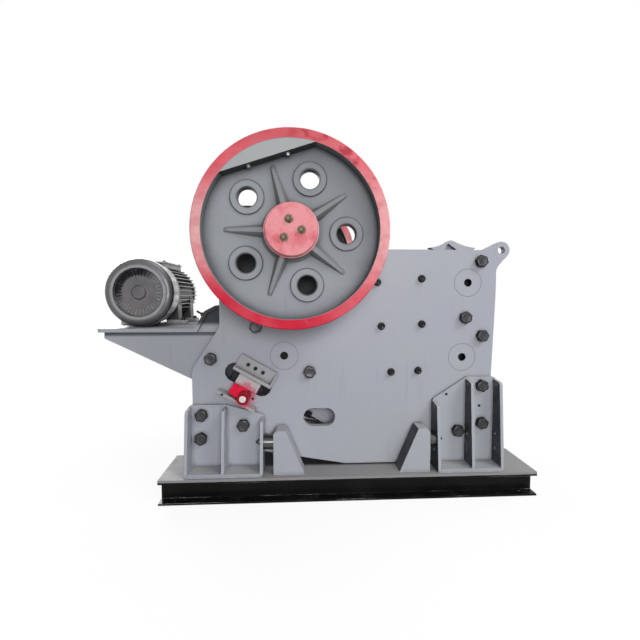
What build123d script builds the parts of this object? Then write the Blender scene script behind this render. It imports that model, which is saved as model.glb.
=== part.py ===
from build123d import *
import os
from math import acos, atan2, cos, hypot, radians, sin

os.makedirs("parts", exist_ok=True)

# Lengths are in millimetres, X runs towards the feed end, Z is up from the floor
# Base frame
BASE_LENGTH = 3120
BASE_TOP = 205
BASE_PLATE_THICK = 20
BASE_PLATE_WIDTH = 500
BASE_OUTER_Y = 860
BEAM_WIDTH = 190
FLANGE_THICK = 15
BEAM_WEB_THICK = 11
CROSS_BEAM_X = (-1250, 1400)
CROSS_BEAM_WIDTH = 150
ANCHOR_END = 120
ANCHOR_EDGE = 45
ANCHOR_HOLE_R = 14

# Side plates
SIDE_INNER_Y = 570
SIDE_THICK = 60
SIDE_BOTTOM = 215
SIDE_TOP = 2073
SADDLE_TOP = 2426
SADDLE_REAR_X = -1100
SADDLE_FRONT_X = -124
SADDLE_FOOT_X = -38
SIDE_REAR_X = -1335
SIDE_REAR_SHOULDER_Z = 1051
SADDLE_REAR_FOOT_Z = 1415
SIDE_REAR_BOTTOM_Z = 443
SIDE_BOTTOM_REAR_X = -31
SIDE_FRONT_X = 1282
SIDE_FRONT_KNEE_Z = 1676
SIDE_FRONT_BOTTOM_X = 1231
LUG_X = 1323
LUG_R = 73
LUG_HOLE_R = 31
LUG_ROOT_X = 1160
LUG_DROP = 154
LUG_SWEEP = 110
SADDLE_ROUND = 45
SIDE_ROUND = 22
INSPECTION_X = -257
INSPECTION_Z = 628
INSPECTION_LENGTH = 274
INSPECTION_HEIGHT = 157
PIN_R = 119
PIN_BORE_R = 32
PIN_PLACES = ((1033, 1791), (993, 1143), (-557, 1167))
FIT_GAP = 0.3

# Eccentric shaft and wheels
SHAFT_X = -484
SHAFT_Z = 2157
ECCENTRICITY = 15
ECCENTRIC_ANGLE = 288
ECCENTRIC_R = 140
ECCENTRIC_HALF = 500
JOURNAL_R = 120
SHAFT_END_R = 95
RUNNING_GAP = 0.08
WHEEL_R = 735
WHEEL_FACE_Y = 1050
RIM_WIDTH = 260
RIM_THICK = 77
WEB_RECESS = 100
WHEEL_WEB_THICK = 60
HUB_R = 205
HUB_FLARE = 26
WHEEL_CHAMFER = 6
HUB_INNER_Y = 765
HUB_OUTER_Y = 1040
WHEEL_SPOKES = 5
HOLE_PITCH_R = 418
WHEEL_HOLE_R = 73
WHEEL_HOLE_CHAMFER = 8
HOLE_ANGLE = -1.6
BOSS_R = 125
BOSS_HEIGHT = 12
RIB_ANGLE = 34.4
RIB_END_R = 488
RIB_ROOT = 40
RIB_HUB_HALF = 36
RIB_END_HALF = 15
RIB_DRAFT = 14
RIB_HUB_HEIGHT = 62
RIB_END_HEIGHT = 12
WEIGHT_CHORD = 546
WEIGHT_ANGLE = 108
CAP_R = 194
CAP_THICK = 38
CAP_CHAMFER = 7

# Bearing housings
HOUSING_R = 280
HOUSING_INNER_Y = 545
HOUSING_FLANGE_R = 335
HOUSING_FLANGE_THICK = 50
HOUSING_NECK_R = 250
HOUSING_OUTER_Y = 745

# Belt grooves and motor pulley
GROOVES = 6
GROOVE_PITCH = 37
GROOVE_TOP_HALF = 15
GROOVE_BOTTOM_HALF = 8
GROOVE_DEPTH = 24
PULLEY_R = 160
PULLEY_HUB_R = 82
PULLEY_RECESS = 60
PULLEY_RIM = 42
MOTOR_SHAFT_R = 42

# Crushing chamber
JAW_TOP_DROP = 13
JAW_BOTTOM_Z = 430
FIXED_FACE_TOP_X = 860
FIXED_FACE_BOTTOM_X = 690
SWING_FACE_TOP_X = 130
SWING_FACE_BOTTOM_X = 570
JAW_THICK = 110
TOOTH_HEIGHT = 34
JAW_TEETH = 10
JAW_SIDE_GAP = 50
CHEEK_THICK = 35
CHEEK_BEHIND_SWING = 130
CHEEK_SPLIT_Z = 1225
CHEEK_SPLIT_GAP = 8

# Front frame
FRONT_DROP = 33
FRONT_INSET = 15
FRONT_WALL = 95
FRONT_RIB = 60
FRONT_POCKETS_WIDE = 3
FRONT_POCKETS_HIGH = 4
FRONT_LUG_THICK = 70
FRONT_LUG_X = 1015
FRONT_LUG_Y = 250
FRONT_LUG_RISE = 164
FRONT_LUG_R = 75
FRONT_LUG_TIPS = (-210, 242)
FRONT_LUG_WING = 95
FRONT_LUG_SAG = 12
FRONT_POCKET_DEPTH = 55
FRONT_POCKET_RISE = (62, 140)
FRONT_POCKET_ENDS = (-70, 79)
FRONT_POCKET_APEX = -32
FRONT_POCKET_ROUND = 12
FRONT_LUG_FOOT = (-35, 150)
FRONT_LUG_NECK = 30

# Rear frame and setting wedge
REAR_INSET = 18
REAR_TOP_Z = 1480
REAR_FOOT_DROP = 160
REAR_NOSE = 238
REAR_NOSE_DROP = 178
REAR_CHIN_DROP = 202
REAR_SEAT_DROP = 120
REAR_POCKETS = 3
REAR_POCKET_DEPTH = 110
REAR_WALL = 55
REAR_ROUND = 40
SLOT_X = -863
SLOT_Z = 964
SLOT_ANGLE = 29.7
SLOT_HALF_SPAN = 133
SLOT_R = 80
WEDGE_HALF_LENGTH = 150
WEDGE_HALF_HEIGHT = 72
WEDGE_OUTER_Y = 650
WEDGE_NOSE_S = (-87, 117)
WEDGE_NOSE_TOP = 34
GUIDE_LENGTH = 350
GUIDE_THICK = 26
GUIDE_HEIGHT = 132
GUIDE_FLANGE = 70
GUIDE_FLANGE_THICK = 24
GUIDE_DROP = 40
GUIDE_SHIFT = 20
LOWER_GUIDE_HEIGHT = 30
LOWER_GUIDE_DROP = 178
CYLINDER_R = 50
CYLINDER_OUTER_Y = 790
CYLINDER_S = 40
CYLINDER_T = -124
CYLINDER_BLOCK_LENGTH = 130
CYLINDER_BLOCK_HEIGHT = 90
ROD_R = 27
ROD_OUTER_Y = 800
TOGGLE_THICK = 60
TOGGLE_END_THICK = 130
TOGGLE_END_S = 660
TOGGLE_SEAT_S = 1097
TOGGLE_HALF_WIDTH = 440

# Swing jaw
HEAD_R = 330
HEAD_BORE_R = 166
SEAT_HALF = 75
JAW_FOOT_Z = 355
JAW_FOOT_X = 440
JAW_BACK_X = -690
JAW_BACK_Z = 1900
JAW_CREST_X = -330
JAW_CREST_Z = 2449
JAW_POCKETS = 4
JAW_WALL = 70
JAW_POCKET_TOP_Z = 1700
JAW_POCKET_BOTTOM_Z = 760
CLAMP_THICK = 60
CLAMP_HALF_WIDTH = 430
CLAMP_CHAMFER = 18

# Tension rod and spring
TENSION_PIN = (200, 270)
TENSION_END = (-1295, 685)
TENSION_ROD_R = 26
TENSION_PIN_R = 22
TENSION_EYE_R = 48
TENSION_EYE_HALF = 26
CLEVIS_THICK = 28
SPRING_R = 72
SPRING_BORE_R = 44
SPRING_LENGTH = 112
SPRING_SEAT_THICK = 16
TENSION_NUT_R = 42
TENSION_NUT_THICK = 24
SPRING_LUG_THICK = 45
SPRING_LUG_HALF = 85
SPRING_LUG_RISE = 310
ROD_HOLE_GAP = 4

# Support brackets, stop blocks and buffers
BRACKET_PLATE = 25
BRACKET_FOOT_Y = 830
GUSSET_TOP_Y = 770
GUSSET_TOP_DROP = 30
BRACKET_ROUND = 30
REAR_GUSSETS = ((-1350, 756), (-1053, 756), (-741, 665))
FRONT_GUSSETS = ((742, 780), (1030, 973), (1278, 970))
GUSSET_HOLE_R = 15
GUSSET_HOLE_DROP = 48
GUSSET_HOLE_LEVELS = (360, 490)
GUSSET_HOLE_Y = 715
STOP_OUTER_Y = 800
STOP_INNER_Y = 645
STOP_HEIGHT = 365
STOP_FOOT = 256
STOP_TOP = 100
STOP_CHAMFER = 27
REAR_STOP_X = -643
FRONT_STOP_X = 666
BUFFER_R = 60
BUFFER_Z = 455
BUFFER_Y = 722

# Motor and its bracket
MOTOR_X = -1905
MOTOR_HEIGHT = 320
MOTOR_PLATE_TOP = 1390
MOTOR_PLATE_THICK = 32
MOTOR_PLATE_REAR_X = -2195
MOTOR_PLATE_FRONT_X = -1331
MOTOR_PLATE_NEAR_Y = -470
MOTOR_PLATE_FAR_Y = 660
MOTOR_WEB_Y = 440
MOTOR_WEB_THICK = 25
MOTOR_WEB_REAR = 55
MOTOR_WEB_SLOPE = 0.492
MOTOR_EAR_RISE = 175
MOTOR_EAR_RUN = 180
MOTOR_EAR_KNEE_RISE = 130
MOTOR_EAR_KNEE_RUN = 92
MOTOR_PLATE_ROUND = 40
MOTOR_BEND_HALF_Y = 470
FAN_COVER_R = 315
FAN_COVER_Y = -290
FAN_COVER_LENGTH = 215
FAN_COVER_WALL = 6
FAN_BELL_LENGTH = 95
FAN_SKIRT_STEP = 9
FAN_EYE_R = 226
FAN_EYE_DEPTH = 26
FAN_ROUND = 58
FAN_BOSS_R = 55
FAN_BOSS_HEIGHT = 14
FAN_SLOTS = 36
FAN_SLOT_WIDTH = 10
FAN_SLOT_INNER_R = 152
FAN_SLOT_OUTER_R = 208
COVER_FLANGE = 26
MOTOR_BODY_END_Y = 640
MOTOR_SHIELD_END_Y = 745
MOTOR_BARREL_R = 248
MOTOR_FIN_R = 288
MOTOR_FINS = 40
MOTOR_FIN_THICK = 9
MOTOR_SHIELD_R = 262
MOTOR_SHIELD_STEP = 45
MOTOR_SHIELD_NOSE_R = 150
MOTOR_FOOT_SPAN = 508
MOTOR_FOOT_WIDTH = 120
MOTOR_FOOT_HEIGHT = 42
MOTOR_FEET_Y = (60, 500)
TERMINAL_HALF = 170
TERMINAL_TOP = 304
TERMINAL_LID = 12
TERMINAL_LID_LIP = 8
TERMINAL_Y = (-45, 480)

SIDE_OUTER_Y = SIDE_INNER_Y + SIDE_THICK
LUG_ROOT_Z = SIDE_TOP - LUG_DROP
FRONT_TOP = SIDE_TOP - FRONT_DROP
JAW_TOP_Z = SIDE_TOP - JAW_TOP_DROP
JAW_HALF_WIDTH = SIDE_INNER_Y - JAW_SIDE_GAP
BRACKET_FACE_Y = SIDE_OUTER_Y + BRACKET_PLATE
BRACKET_FLOOR = BASE_TOP + BRACKET_PLATE
MOTOR_Z = MOTOR_PLATE_TOP + MOTOR_HEIGHT
RIM_INNER_Y = WHEEL_FACE_Y - RIM_WIDTH
RIM_INNER_R = WHEEL_R - RIM_THICK
WEB_OUTER_Y = WHEEL_FACE_Y - WEB_RECESS
WEB_INNER_Y = WEB_OUTER_Y - WHEEL_WEB_THICK


def block(x_span, y_span, z_span):
    """Box between two places on each axis."""
    sizes = [span[1] - span[0] for span in (x_span, y_span, z_span)]
    middle = [(span[1] + span[0]) / 2 for span in (x_span, y_span, z_span)]
    return Pos(*middle) * Box(*sizes)


def prism(outline, y_span):
    """Solid with an outline in the XZ plane, from one Y to another."""
    return extrude(Plane.XZ.offset(-y_span[1]) * outline, amount=y_span[1] - y_span[0])


def flat(points):
    """Face with straight edges, its corners taken counter-clockwise."""
    pairs = zip(points, points[1:] + points[:1])
    twice_area = sum(a[0] * b[1] - b[0] * a[1] for a, b in pairs)
    ordered = points if twice_area > 0 else points[::-1]
    return Polygon(*ordered, align=None)


def panel(points, y_span):
    """Flat piece with straight edges in the XZ plane."""
    return prism(flat(points), y_span)


def disc(x, z, radius, y_span):
    """Round piece lying along Y."""
    return prism(Pos(x, z) * Circle(radius), y_span)


def spin(points, x, z):
    """Turned piece about an axis along Y, from points of radius and Y."""
    section = Plane.XY * flat(points)
    return Pos(x, 0, z) * revolve(section, Axis.Y)


def tangent_point(centre, radius, place, side):
    """Where a line from a place outside a circle touches it, on one side or the other."""
    run = place[0] - centre[0]
    rise = place[1] - centre[1]
    turn = atan2(rise, run) + side * acos(radius / hypot(run, rise))
    return (centre[0] + radius * cos(turn), centre[1] + radius * sin(turn))


def strip(places, thick):
    """Outline of a bent plate whose lower side runs through these places."""
    line = Polyline(*places)
    return make_face(offset(line, amount=thick, side=Side.LEFT, kind=Kind.INTERSECTION))


def rounded(face, places, radius):
    """Face with the corners at these places rounded."""
    for place in places:
        corner = face.vertices().sort_by_distance((*place, 0))[0]
        face = fillet(corner, radius)
    return face


def far(piece):
    """The same piece on the other side of the middle plane."""
    return mirror(piece, about=Plane.XZ)


def near(span):
    """Y span on the near side, for a span of distances from the middle plane."""
    return (-span[1], -span[0])


def on_slot(s, t):
    """Place in the XZ plane, along and across the setting slot."""
    turn = radians(SLOT_ANGLE)
    return (SLOT_X + s * cos(turn) + t * sin(turn), SLOT_Z - s * sin(turn) + t * cos(turn))


def slot_block(s_span, t_span, y_span):
    """Block squared to the setting slot."""
    corners = [(s_span[0], t_span[0]), (s_span[1], t_span[0]), (s_span[1], t_span[1]), (s_span[0], t_span[1])]
    return panel([on_slot(s, t) for s, t in corners], y_span)


def save(name, piece):
    """Writes one subcomponent."""
    export_step(piece, f"parts/{name}.step")


def save_pair(name, piece):
    """Writes a piece of the near side and its mirror image."""
    save(f"{name}_near", piece)
    save(f"{name}_far", far(piece))


def h_beam(length, width, height):
    """Rolled beam along X, standing on the floor, its web at Y zero."""
    half = length / 2
    flange = block((-half, half), (-width / 2, width / 2), (0, FLANGE_THICK))
    web = block((-half, half), (-BEAM_WEB_THICK / 2, BEAM_WEB_THICK / 2), (0, height))
    return flange + web + Pos(0, 0, height - FLANGE_THICK) * flange


def base():
    """Two sills of paired beams under a plate, and the beams across."""
    beam_height = BASE_TOP - BASE_PLATE_THICK
    outer_web_y = BASE_OUTER_Y - BEAM_WIDTH / 2
    inner_web_y = BASE_OUTER_Y - BASE_PLATE_WIDTH + BEAM_WIDTH / 2
    beam = h_beam(BASE_LENGTH, BEAM_WIDTH, beam_height)
    outer = Pos(0, -outer_web_y, 0) * beam
    anchor_y = -(BASE_OUTER_Y - ANCHOR_EDGE)
    for anchor_x in (ANCHOR_END - BASE_LENGTH / 2, BASE_LENGTH / 2 - ANCHOR_END):
        outer -= Pos(anchor_x, anchor_y, FLANGE_THICK / 2) * Cylinder(ANCHOR_HOLE_R, FLANGE_THICK)
    save_pair("sill_beams", Compound([outer, Pos(0, -inner_web_y, 0) * beam]))
    half = BASE_LENGTH / 2
    plate_y = near((BASE_OUTER_Y - BASE_PLATE_WIDTH, BASE_OUTER_Y))
    save_pair("base_plate", block((-half, half), plate_y, (beam_height, BASE_TOP)))
    clear_height = beam_height - 2 * FLANGE_THICK
    across = h_beam(2 * inner_web_y - BEAM_WEB_THICK, CROSS_BEAM_WIDTH, clear_height)
    crosses = [Pos(x, 0, FLANGE_THICK) * Rot(0, 0, 90) * across for x in CROSS_BEAM_X]
    save("cross_beams", Compound(crosses))


def side_outline():
    """Outline of a side plate with its lug, its bearing seat and its openings."""
    outline = flat(
        [
            (SIDE_FRONT_BOTTOM_X, SIDE_BOTTOM),
            (SIDE_FRONT_X, SIDE_FRONT_KNEE_Z),
            (SIDE_FRONT_X, SIDE_TOP),
            (SADDLE_FOOT_X, SIDE_TOP),
            (SADDLE_FRONT_X, SADDLE_TOP),
            (SADDLE_REAR_X, SADDLE_TOP),
            (SADDLE_REAR_X, SADDLE_REAR_FOOT_Z),
            (SIDE_REAR_X, SIDE_REAR_SHOULDER_Z),
            (SIDE_REAR_X, SIDE_REAR_BOTTOM_Z),
            (SIDE_BOTTOM_REAR_X, SIDE_BOTTOM),
        ]
    )
    lug_centre = (LUG_X, SIDE_TOP)
    lug_below = (SIDE_FRONT_X, LUG_ROOT_Z)
    lug_behind = (LUG_ROOT_X, SIDE_TOP)
    lug = flat(
        [
            (LUG_ROOT_X, LUG_ROOT_Z),
            lug_below,
            tangent_point(lug_centre, LUG_R, lug_below, 1),
            tangent_point(lug_centre, LUG_R, lug_behind, -1),
            lug_behind,
        ]
    )
    outline = outline + lug + Pos(*lug_centre) * Circle(LUG_R)
    outline = rounded(outline, [lug_below, lug_behind], LUG_SWEEP)
    saddle = [(SADDLE_FRONT_X, SADDLE_TOP), (SADDLE_REAR_X, SADDLE_TOP), (SADDLE_FOOT_X, SIDE_TOP)]
    outline = rounded(outline, saddle, SADDLE_ROUND)
    rear = [(SIDE_REAR_X, SIDE_REAR_SHOULDER_Z), (SIDE_REAR_X, SIDE_REAR_BOTTOM_Z)]
    outline = rounded(outline, rear, SIDE_ROUND)
    outline -= Pos(*lug_centre) * Circle(LUG_HOLE_R)
    outline -= Pos(INSPECTION_X, INSPECTION_Z) * SlotOverall(INSPECTION_LENGTH, INSPECTION_HEIGHT)
    slot = Rot(0, 0, -SLOT_ANGLE) * SlotCenterToCenter(2 * SLOT_HALF_SPAN, 2 * SLOT_R)
    outline -= Pos(SLOT_X, SLOT_Z) * slot
    outline -= Pos(SHAFT_X, SHAFT_Z) * Circle(HOUSING_R + FIT_GAP)
    for x, z in PIN_PLACES:
        outline -= Pos(x, z) * Circle(PIN_R + FIT_GAP)
    return outline


def sides():
    """Side plates, the locating pins in them and the bearing housings."""
    plate_y = near((SIDE_INNER_Y, SIDE_OUTER_Y))
    save_pair("side_plate", prism(side_outline(), plate_y))
    ring = Circle(PIN_R) - Circle(PIN_BORE_R)
    save_pair("locating_pins", Compound([prism(Pos(x, z) * ring, plate_y) for x, z in PIN_PLACES]))
    bore_r = JOURNAL_R + RUNNING_GAP
    flange_y = SIDE_OUTER_Y + HOUSING_FLANGE_THICK
    housing = [
        (bore_r, -HOUSING_INNER_Y),
        (HOUSING_R, -HOUSING_INNER_Y),
        (HOUSING_R, -SIDE_OUTER_Y),
        (HOUSING_FLANGE_R, -SIDE_OUTER_Y),
        (HOUSING_FLANGE_R, -flange_y),
        (HOUSING_NECK_R, -flange_y),
        (HOUSING_NECK_R, -HOUSING_OUTER_Y),
        (bore_r, -HOUSING_OUTER_Y),
    ]
    save_pair("bearing_housing", spin(housing, SHAFT_X, SHAFT_Z))


def groove_places():
    """Distances from the middle plane of the belt grooves."""
    middle = WHEEL_FACE_Y - RIM_WIDTH / 2
    return [middle + (i - (GROOVES - 1) / 2) * GROOVE_PITCH for i in range(GROOVES)]


def grooved_edge(radius):
    """Points of radius and Y along a grooved rim, from the inside outwards."""
    points = []
    for place in groove_places():
        points.append((radius, place - GROOVE_TOP_HALF))
        points.append((radius - GROOVE_DEPTH, place - GROOVE_BOTTOM_HALF))
        points.append((radius - GROOVE_DEPTH, place + GROOVE_BOTTOM_HALF))
        points.append((radius, place + GROOVE_TOP_HALF))
    return points


def wheel_rib():
    """Drafted rib on a wheel's web, wide and tall at the hub, running out towards the rim."""
    root = HUB_R - RIB_ROOT
    foot = flat(
        [
            (root, -RIB_HUB_HALF),
            (RIB_END_R, -RIB_END_HALF),
            (RIB_END_R, RIB_END_HALF),
            (root, RIB_HUB_HALF),
        ]
    )
    web_face = Plane((0, WEB_OUTER_Y, 0), x_dir=(1, 0, 0), z_dir=(0, 1, 0))
    stock = extrude(web_face * foot, amount=RIB_HUB_HEIGHT, taper=RIB_DRAFT)
    slope = flat(
        [
            (root, WEB_OUTER_Y),
            (root, WEB_OUTER_Y + RIB_HUB_HEIGHT),
            (HUB_R, WEB_OUTER_Y + RIB_HUB_HEIGHT),
            (RIB_END_R, WEB_OUTER_Y + RIB_END_HEIGHT),
            (RIB_END_R, WEB_OUTER_Y),
        ]
    )
    return stock & extrude(Plane.XY * slope, amount=RIB_HUB_HALF, both=True)


def wheel_hole(x, z):
    """Cutter for a hole through a boss, with a chamfer at each mouth."""
    low = WEB_INNER_Y - BOSS_HEIGHT
    high = WEB_OUTER_Y + BOSS_HEIGHT
    mouth_r = WHEEL_HOLE_R + WHEEL_HOLE_CHAMFER
    points = [
        (0, low),
        (mouth_r, low),
        (WHEEL_HOLE_R, low + WHEEL_HOLE_CHAMFER),
        (WHEEL_HOLE_R, high - WHEEL_HOLE_CHAMFER),
        (mouth_r, high),
        (0, high),
    ]
    return spin(points, x, z)


def wheel(edge):
    """Cast wheel about the shaft on the far side, with bosses, holes and ribs."""
    profile = [
        (SHAFT_END_R, HUB_INNER_Y),
        (HUB_R, HUB_INNER_Y),
        (HUB_R, WEB_INNER_Y),
        (RIM_INNER_R, WEB_INNER_Y),
        (RIM_INNER_R, RIM_INNER_Y),
        (WHEEL_R - WHEEL_CHAMFER, RIM_INNER_Y),
        (WHEEL_R, RIM_INNER_Y + WHEEL_CHAMFER),
        *edge,
        (WHEEL_R, WHEEL_FACE_Y - WHEEL_CHAMFER),
        (WHEEL_R - WHEEL_CHAMFER, WHEEL_FACE_Y),
        (RIM_INNER_R, WHEEL_FACE_Y),
        (RIM_INNER_R, WEB_OUTER_Y),
        (HUB_R + HUB_FLARE, WEB_OUTER_Y),
        (HUB_R, WEB_OUTER_Y + HUB_FLARE),
        (HUB_R, HUB_OUTER_Y),
        (SHAFT_END_R, HUB_OUTER_Y),
    ]
    body = spin(profile, 0, 0)
    step = 360 / WHEEL_SPOKES
    boss_y = (WEB_INNER_Y - BOSS_HEIGHT, WEB_OUTER_Y + BOSS_HEIGHT)
    turns = [radians(HOLE_ANGLE + i * step) for i in range(WHEEL_SPOKES)]
    places = [(HOLE_PITCH_R * cos(turn), HOLE_PITCH_R * sin(turn)) for turn in turns]
    rib = wheel_rib()
    for i in range(WHEEL_SPOKES):
        body += disc(*places[i], BOSS_R, boss_y)
        body += Rot(0, -(RIB_ANGLE + i * step), 0) * rib
    for place in places:
        body -= wheel_hole(*place)
    return Pos(SHAFT_X, 0, SHAFT_Z) * body


def balance_weight():
    """Segment bolted inside the rim on the far side, opposite the eccentric."""
    y_span = (WEB_OUTER_Y, WHEEL_FACE_Y)
    radius = RIM_INNER_R - FIT_GAP
    inner = block((-radius, WEIGHT_CHORD), y_span, (-radius, radius))
    segment = disc(0, 0, radius, y_span) - inner
    return Pos(SHAFT_X, 0, SHAFT_Z) * Rot(0, -WEIGHT_ANGLE, 0) * segment


def rotor():
    """Everything that turns: the shaft, both wheels, their weights and caps."""
    throw = radians(ECCENTRIC_ANGLE)
    offset_x = ECCENTRICITY * cos(throw)
    offset_z = ECCENTRICITY * sin(throw)
    span = (-ECCENTRIC_HALF, ECCENTRIC_HALF)
    shaft = disc(SHAFT_X + offset_x, SHAFT_Z + offset_z, ECCENTRIC_R, span)
    shaft += disc(SHAFT_X, SHAFT_Z, JOURNAL_R, (-HUB_INNER_Y, HUB_INNER_Y))
    shaft += disc(SHAFT_X, SHAFT_Z, SHAFT_END_R, (-HUB_OUTER_Y, HUB_OUTER_Y))
    save("eccentric_shaft", shaft)
    save("flywheel", far(wheel([])))
    save("drive_wheel", wheel(grooved_edge(WHEEL_R)))
    weight = far(balance_weight())
    save_pair("balance_weight", weight)
    cap_face = -HUB_OUTER_Y - CAP_THICK
    cap = [
        (0, -HUB_OUTER_Y),
        (CAP_R, -HUB_OUTER_Y),
        (CAP_R, cap_face + CAP_CHAMFER),
        (CAP_R - CAP_CHAMFER, cap_face),
        (0, cap_face),
    ]
    save_pair("hub_cap", spin(cap, SHAFT_X, SHAFT_Z))


def jaw_line(top_x, bottom_x):
    """Direction up a jaw's face in the XZ plane, and the face's length."""
    length = hypot(top_x - bottom_x, JAW_TOP_Z - JAW_BOTTOM_Z)
    return (top_x - bottom_x) / length, (JAW_TOP_Z - JAW_BOTTOM_Z) / length, length


def jaw_plate(top_x, bottom_x, behind):
    """Toothed wear plate, its tooth tips on the jaw's face."""
    up_x, up_z, length = jaw_line(top_x, bottom_x)
    pitch = 2 * JAW_HALF_WIDTH / JAW_TEETH
    points = [(JAW_THICK, -JAW_HALF_WIDTH)]
    for i in range(JAW_TEETH):
        start = -JAW_HALF_WIDTH + i * pitch
        points += [(TOOTH_HEIGHT, start), (0, start + pitch / 3), (0, start + pitch * 2 / 3)]
    points += [(TOOTH_HEIGHT, JAW_HALF_WIDTH), (JAW_THICK, JAW_HALF_WIDTH)]
    foot = Plane((bottom_x, 0, JAW_BOTTOM_Z), x_dir=(behind * up_z, 0, -behind * up_x), z_dir=(up_x, 0, up_z))
    return extrude(foot * flat(points), amount=length)


def behind_jaw(top_x, bottom_x, behind, depth, z):
    """Place at a depth behind a jaw's face, at a height."""
    up_x, up_z, length = jaw_line(top_x, bottom_x)
    return bottom_x + (z - JAW_BOTTOM_Z) * up_x / up_z + behind * depth / up_z


def chamber():
    """Wear plates around the crushing chamber."""
    save("fixed_jaw_plate", jaw_plate(FIXED_FACE_TOP_X, FIXED_FACE_BOTTOM_X, 1))
    save("swing_jaw_plate", jaw_plate(SWING_FACE_TOP_X, SWING_FACE_BOTTOM_X, -1))
    y_span = near((SIDE_INNER_Y - CHEEK_THICK, SIDE_INNER_Y))
    levels = (
        (JAW_BOTTOM_Z, CHEEK_SPLIT_Z - CHEEK_SPLIT_GAP / 2),
        (CHEEK_SPLIT_Z + CHEEK_SPLIT_GAP / 2, JAW_TOP_Z),
    )
    cheeks = []
    for low, high in levels:
        corners = []
        for z in (low, high):
            corners.append(behind_jaw(SWING_FACE_TOP_X, SWING_FACE_BOTTOM_X, -1, CHEEK_BEHIND_SWING, z))
            corners.append(behind_jaw(FIXED_FACE_TOP_X, FIXED_FACE_BOTTOM_X, 1, 0, z))
        points = [(corners[0], low), (corners[1], low), (corners[3], high), (corners[2], high)]
        cheeks.append(panel(points, y_span))
    save_pair("cheek_plates", Compound(cheeks))


def front_frame():
    """Cast front wall behind the fixed jaw, with a grid of ribs."""
    def wall_x(depth, z):
        return behind_jaw(FIXED_FACE_TOP_X, FIXED_FACE_BOTTOM_X, 1, depth, z)

    def edge_x(z):
        lean = (SIDE_FRONT_X - SIDE_FRONT_BOTTOM_X) / (SIDE_FRONT_KNEE_Z - SIDE_BOTTOM)
        return SIDE_FRONT_X - FRONT_INSET - lean * max(0, SIDE_FRONT_KNEE_Z - z)

    half = SIDE_INNER_Y
    wall = panel(
        [
            (wall_x(JAW_THICK, JAW_BOTTOM_Z), JAW_BOTTOM_Z),
            (edge_x(JAW_BOTTOM_Z), JAW_BOTTOM_Z),
            (edge_x(SIDE_FRONT_KNEE_Z), SIDE_FRONT_KNEE_Z),
            (edge_x(FRONT_TOP), FRONT_TOP),
            (wall_x(JAW_THICK, FRONT_TOP), FRONT_TOP),
        ],
        (-half, half),
    )
    bay_height = (FRONT_TOP - JAW_BOTTOM_Z - FRONT_RIB) / FRONT_POCKETS_HIGH
    bay_width = (2 * half - FRONT_RIB) / FRONT_POCKETS_WIDE
    for row in range(FRONT_POCKETS_HIGH):
        low = JAW_BOTTOM_Z + FRONT_RIB + row * bay_height
        high = low + bay_height - FRONT_RIB
        pocket = [
            (wall_x(JAW_THICK + FRONT_WALL, low), low),
            (SIDE_FRONT_X, low),
            (SIDE_FRONT_X, high),
            (wall_x(JAW_THICK + FRONT_WALL, high), high),
        ]
        for column in range(FRONT_POCKETS_WIDE):
            start = -half + FRONT_RIB + column * bay_width
            wall -= panel(pocket, (start, start + bay_width - FRONT_RIB))
    save("front_frame", wall)


def front_lug():
    """Pair of lifting lugs on the front frame: a crown with hollow flanks and a three-cornered pocket."""
    centre = (FRONT_LUG_X, FRONT_TOP + FRONT_LUG_RISE - FRONT_LUG_R)
    foot = [(FRONT_LUG_X + place, FRONT_TOP) for place in FRONT_LUG_FOOT]
    neck = [(FRONT_LUG_X + place, FRONT_TOP + FRONT_LUG_NECK) for place in FRONT_LUG_FOOT]
    tips = [(FRONT_LUG_X + reach, FRONT_TOP + FRONT_LUG_WING) for reach in FRONT_LUG_TIPS]
    crown = [tangent_point(centre, FRONT_LUG_R, tip, side) for tip, side in zip(tips, (-1, 1))]
    flanks = []
    for tip, top in zip(tips, crown):
        middle = ((tip[0] + top[0]) / 2, (tip[1] + top[1]) / 2 - FRONT_LUG_SAG)
        flanks.append(ThreePointArc(tip, middle, top))
    outline = make_face(
        [
            Polyline(tips[0], neck[0], foot[0], foot[1], neck[1], tips[1]),
            flanks[1],
            ThreePointArc(crown[1], (centre[0], centre[1] + FRONT_LUG_R), crown[0]),
            flanks[0],
        ]
    )
    low, high = (FRONT_TOP + rise for rise in FRONT_POCKET_RISE)
    corners = [(FRONT_LUG_X + FRONT_POCKET_ENDS[0], low), (FRONT_LUG_X + FRONT_POCKET_ENDS[1], low)]
    corners.append((FRONT_LUG_X + FRONT_POCKET_APEX, high))
    pocket = rounded(flat(corners), corners, FRONT_POCKET_ROUND)
    half = FRONT_LUG_THICK / 2
    lug = prism(outline, (-half, half)) - prism(pocket, (-half, FRONT_POCKET_DEPTH - half))
    save("front_lug", Pos(0, -FRONT_LUG_Y, 0) * lug + Pos(0, FRONT_LUG_Y, 0) * mirror(lug, Plane.XZ))


def rear_faces():
    """Rear face of the rear frame, bottom corner first."""
    slant = (SADDLE_REAR_FOOT_Z - SIDE_REAR_SHOULDER_Z) / (SADDLE_REAR_X - SIDE_REAR_X)
    low = (SIDE_REAR_X + REAR_INSET, SLOT_Z - REAR_FOOT_DROP)
    shoulder = (SIDE_REAR_X + REAR_INSET, SIDE_REAR_SHOULDER_Z)
    top_z = SADDLE_REAR_FOOT_Z - 2 * REAR_INSET
    top = (shoulder[0] + (top_z - SIDE_REAR_SHOULDER_Z) / slant, top_z)
    return low, shoulder, top


def rod_plane():
    """Plane across the tension rod at its pin, facing along the rod."""
    run = (TENSION_END[0] - TENSION_PIN[0], 0, TENSION_END[1] - TENSION_PIN[1])
    return Plane((TENSION_PIN[0], 0, TENSION_PIN[1]), x_dir=(0, 1, 0), z_dir=run)


def rod_length():
    """Length of the tension rod from its pin."""
    return hypot(TENSION_END[0] - TENSION_PIN[0], TENSION_END[1] - TENSION_PIN[1])


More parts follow.
